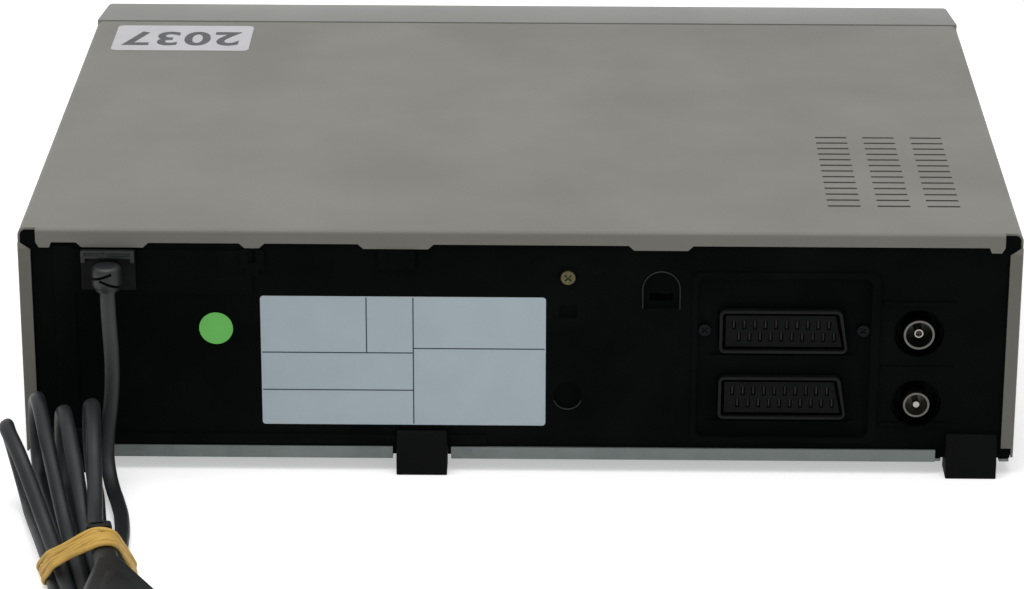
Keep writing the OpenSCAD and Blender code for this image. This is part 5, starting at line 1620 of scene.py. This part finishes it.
@dataclass
class Case:
    """The steel cover, the rear panel with its labels, the bottom plate and the feet.

    Attributes:
        panel_y: the rear panel's outer face.
        label: the rating plate's middle, in X and Z.
        label_size: its width and height.
        rule: width of the ruled lines.
        arch: middle of the arched pocket's round top, in X and Z.
        arch_r: radius of that top.
        hole: middle of the round pocket.
        hole_r: its radius.
        rim_t: thickness of the rims round the pockets.
        rim_drop: how far the arch's two legs reach down.
        ruled_y: how far the rules' back and face stand off the panel.
        rule_end: how far the rules end from the plate's edge.
        sticker: the number sticker's middle, in X and Y.
        sticker_z: height of its face.
        figures: what is printed on it.
        figure_mm: height of a line of them.
        figure_space: spacing of the figures, as a share of the usual one.
        figure_bold: how much thicker their strokes are drawn on each side.
        figure_ink: thickness of their toner, up and down.
        figure_stretch: how much wider and higher they are drawn.
    """

    panel_y: float = 136.5
    label: tuple[float, float] = (42.0, 43.0)
    label_size: tuple[float, float] = (103.0, 50.0)
    rule: float = 0.45
    arch: tuple[float, float] = (-51.0, 71.5)
    arch_r: float = 6.7
    hole: tuple[float, float] = (-17.5, 29.7)
    hole_r: float = 5.0
    rim_t: float = 0.5
    rim_drop: float = 7.5
    ruled_y: tuple[float, float] = (0.19, 0.23)
    rule_end: float = 0.6
    sticker: tuple[float, float] = (141.8, -90.5)
    sticker_z: float = 93.65
    figures: str = "2037"
    figure_mm: float = 21.5
    figure_space: float = 1.12
    figure_bold: float = 0.55
    figure_ink: float = 0.03
    figure_stretch: tuple[float, float] = (1.02, 1.16)

    def build(self) -> None:
        """Dresses the case and adds its small printed pieces."""
        coated(COVER_PAINT, "top_cover")
        coated(PANEL_ABS, "chassis_frame")
        coated(GALVANISED, "bottom_plate")
        coated(PASSIVATED, "screws")
        coated(RATING_FILM, "rating_label")
        coated(GREEN_PAPER, "round_sticker")
        coated(WHITE_PAPER, "number_sticker")
        panel = eased(copied("rear_panel", "rear_panel_moulding"), width=0.3, segments=2)
        fitted(panel, PANEL_ABS, instead=["rear_panel"])
        fitted(self.rims(), RIM_ABS)
        feet = eased(copied("feet", "foot_blocks"), width=1.6)
        fitted(feet, FOOT_ABS, instead=["feet"])
        self.rules()
        self.numbers()

    def rims(self) -> Piece:
        """Raises thin rims round the arched pocket and under the round one.

        Returns:
            The rims as one piece.
        """
        x, z = self.arch
        leg, r = [z - self.rim_drop, z - 3.0], self.arch_r
        arch = [(x - r, height) for height in leg]
        for angle in [math.pi * k / 20 for k in range(21)]:
            arch.append((x - r * math.cos(angle), z + r * math.sin(angle)))
        arch += [(x + r, height) for height in reversed(leg)]
        hx, hz = self.hole
        r = self.hole_r + 0.2
        under = []
        for angle in [math.radians(200 + 7 * k) for k in range(21)]:
            under.append((hx + r * math.cos(angle), hz + r * math.sin(angle)))
        section = oval(self.rim_t, self.rim_t, 8, 2)
        made = []
        for line in (arch, under):
            path = [metres(a, self.panel_y, b) for a, b in line]
            made.append(swept("rim", path, section, Vector((0, 1, 0))))
        return joined("pocket_rims", made)

    def rules(self) -> None:
        """Prints the ruled lines of the rating plate."""
        x, z = self.label
        side, top = [size / 2 - self.rule_end for size in self.label_size]
        # each line's two ends, from the plate's middle, as seen from behind (right is -X)
        lines = (
            ((3.6, -top), (3.6, top)), ((-13.3, 3.6), (-13.3, top)), ((-side, 3.2), (3.6, 3.2)),
            ((-side, -11.4), (3.6, -11.4)), ((3.6, 5.0), (side, 5.0)),
        )
        back, face = [self.panel_y + far for far in self.ruled_y]
        half = self.rule / 2
        made = []
        for (ax, az), (bx, bz) in lines:
            low = (x - max(ax, bx) - half, back, z + min(az, bz) - half)
            high = (x - min(ax, bx) + half, face, z + max(az, bz) + half)
            made.append(block("rule", low, high))
        fitted(joined("label_rules", made), NAVY_INK)

    def numbers(self) -> None:
        """Prints four plain figures on the sticker, which reads from the front."""
        bpy.ops.object.select_all(action="DESELECT")
        bpy.ops.object.text_add(location=(0, 0, 0))
        text = bpy.context.object
        text.data.body = self.figures
        text.data.align_x = "CENTER"
        text.data.align_y = "CENTER"
        text.data.size = self.figure_mm / 1000
        text.data.extrude = self.figure_ink / 1000
        text.data.offset = self.figure_bold / 1000
        text.data.space_character = self.figure_space
        bpy.ops.object.convert(target="MESH")
        text.scale = (*self.figure_stretch, 1)
        text.location = metres(*self.sticker, self.sticker_z + 0.02)
        fitted(settled(text, "sticker_figures"), GREY_INK)


# ------------------------------------------------------------ rear sockets


@dataclass
class RearSockets:
    """The two 21-way sockets, the aerial sockets and the tin box behind them.

    Attributes:
        shells: the 21-way sockets' shell nodes.
    """

    shells: tuple[str, str] = ("upper_scart", "lower_scart")

    def build(self) -> None:
        """Dresses the sockets and rounds the rims of their shells."""
        for node in self.shells:
            shell = eased(copied(node, f"{node}_shell"), width=0.35, segments=2)
            fitted(shell, SOCKET_PBT, instead=[node])
        coated(INSERT_PBT, "scart_inserts")
        coated(CONTACT_TIN, "scart_contacts")
        coated(TINPLATE, "modulator_can")
        coated(NICKEL, "aerial_sleeves")
        coated(AERIAL_CONTACT, "aerial_contacts")


# ------------------------------------------------------------------- front


class Mark(Enum):
    """The plain symbols on the button caps."""

    POWER = "power"
    EJECT = "eject"
    PLAY = "play"
    STOP = "stop"
    REWIND = "rewind"
    FORWARD = "forward"
    RECORD = "record"
    PAUSE = "pause"
    UP = "channel_up"
    DOWN = "channel_down"


@dataclass
class Front:
    """The fascia, the flap, the display and the buttons with their symbols.

    Attributes:
        face_y: the button caps' face.
        mark_size: height of a symbol.
        pair: how far the two arrows of a double symbol stand off its middle.
        ink_t: thickness of the ink on the cap.
        sunk: how far the ink reaches into the cap.
    """

    face_y: float = -141.5
    mark_size: float = 3.4
    pair: float = 1.4
    ink_t: float = 0.04
    sunk: float = 0.02

    def build(self) -> None:
        """Dresses the front and rounds its edges."""
        fascia = eased(copied("front_fascia", "fascia_moulding"), width=0.4, segments=2)
        fitted(fascia, FASCIA_ABS, instead=["front_fascia"])
        flap = eased(copied("cassette_flap", "flap_moulding"), width=0.4, segments=2)
        fitted(flap, FLAP_ABS, "flap", ["cassette_flap"])
        coated(SMOKED, "display_window")
        coated(TUBE_GLASS, "display_tube")
        for mark in Mark:
            self.button(mark)

    def button(self, mark: Mark) -> None:
        """Rounds a button's cap and prints its symbol.

        Args:
            mark: the button's symbol.
        """
        node = f"{mark.value}_button"
        finish, ink, slot = BUTTON_ABS, GREY_INK, "button_moulding"
        if mark is Mark.RECORD:
            finish, ink, slot = RECORD_ABS, WHITE_PAPER, "record_moulding"
        cap = eased(copied(node, f"{node}_cap"), width=0.45)
        fitted(cap, finish, node, [node])
        low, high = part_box(node)
        middle = (low + high) * 500
        sign = joined(f"{mark.value}_mark", self.shapes(mark, middle.x, middle.z))
        fitted(sign, ink, node)

    def shapes(self, mark: Mark, x: float, z: float) -> list[Piece]:
        """Makes the flat shapes of one symbol.

        Args:
            mark: the symbol.
            x: its middle along X.
            z: its middle along Z.

        Returns:
            Thin pieces on the cap's face.
        """
        h = self.mark_size / 2
        if mark is Mark.PLAY:
            return [self.wedge(x, z, 0)]
        if mark in (Mark.FORWARD, Mark.REWIND):
            turn = 0 if mark is Mark.FORWARD else 180
            return [self.wedge(x + shift, z, turn) for shift in (-self.pair, self.pair)]
        if mark in (Mark.UP, Mark.DOWN):
            return [self.wedge(x, z, 90 if mark is Mark.UP else -90)]
        if mark is Mark.EJECT:
            return [self.wedge(x, z + 0.7, 90), self.slip(x - h, x + h, z - h - 0.5, z - h + 0.3)]
        if mark is Mark.STOP:
            return [self.slip(x - h, x + h, z - h, z + h)]
        if mark is Mark.PAUSE:
            return [self.slip(x + a * h, x + b * h, z - h, z + h) for a, b in ((-1, -0.4), (0.4, 1))]
        back = self.face_y + self.sunk
        disc = bar("disc", (x, self.face_y - self.ink_t, z), (x, back, z), h, 32)
        if mark is Mark.POWER:
            cut(disc, bar("hole", (x, self.face_y - 1, z), (x, back + 1, z), h - 0.45, 32))
            cut(disc, block("gap", (x - 0.6, self.face_y - 1, z), (x + 0.6, back + 1, z + 3)))
            return [disc, self.slip(x - 0.22, x + 0.22, z + 0.2, z + h + 0.3)]
        return [disc]

    def slip(self, left: float, right: float, low: float, high: float) -> Piece:
        """Makes a flat oblong of ink on the cap's face, between two X and two Z values."""
        return block("slip", (left, self.face_y - self.ink_t, low), (right, self.face_y + self.sunk, high))

    def wedge(self, x: float, z: float, turn: float) -> Piece:
        """Makes a flat triangle of ink on the cap's face.

        Args:
            x: its middle along X.
            z: its middle along Z.
            turn: which way it points, in degrees from the right.

        Returns:
            The triangle.
        """
        piece = bar("wedge", (0, -self.sunk, 0), (0, self.ink_t, 0), self.mark_size / 2, 3)
        place = Matrix.Translation(metres(x, self.face_y, z))
        over = Matrix.Rotation(math.pi, 4, "X")
        piece.matrix_world = place @ over @ Matrix.Rotation(math.radians(turn + 90), 4, "Y")
        return settled(piece, "wedge")


# ---------------------------------------------------------- boards and deck


@dataclass
class Boards:
    """The circuit boards and the transformer."""

    def build(self) -> None:
        """Dresses the boards."""
        coated(FRONT_LAMINATE, "front_board")
        coated(MAIN_LAMINATE, "main_board")
        coated(POWER_LAMINATE, "power_board")
        coated(LAMINATIONS, "transformer")


@dataclass
class Deck:
    """The tape deck under the tray, with its drum, reels, arms and gears."""

    def build(self) -> None:
        """Dresses the deck."""
        coated(ZINC, "deck_plate", "tray_rails", "tray_slider", "cassette_tray")
        coated(DRUM_ALLOY, "lower_drum", "upper_drum")
        coated(GROUND_STEEL, "capstan", "supply_guide", "takeup_guide", "pinch_arm", "tension_arm")
        coated(MOTOR_STEEL, "deck_motors")
        coated(HEAD_METAL, "tape_heads")
        coated(ACETAL, "supply_reel", "takeup_reel", "idler_arm", "cam_gear", "motor_pinion")
        coated(ROLLER_RUBBER, "idler_wheel", "pinch_roller")


def main() -> None:
    """Builds the recorder's looks and writes how large they are."""
    logging.basicConfig(level=logging.INFO, format="%(message)s")
    for maker in (Stage(), MainsLead(), Case(), RearSockets(), Front(), Boards(), Deck()):
        maker.build()
    bpy.context.view_layer.update()


if __name__ == "__main__":
    main()
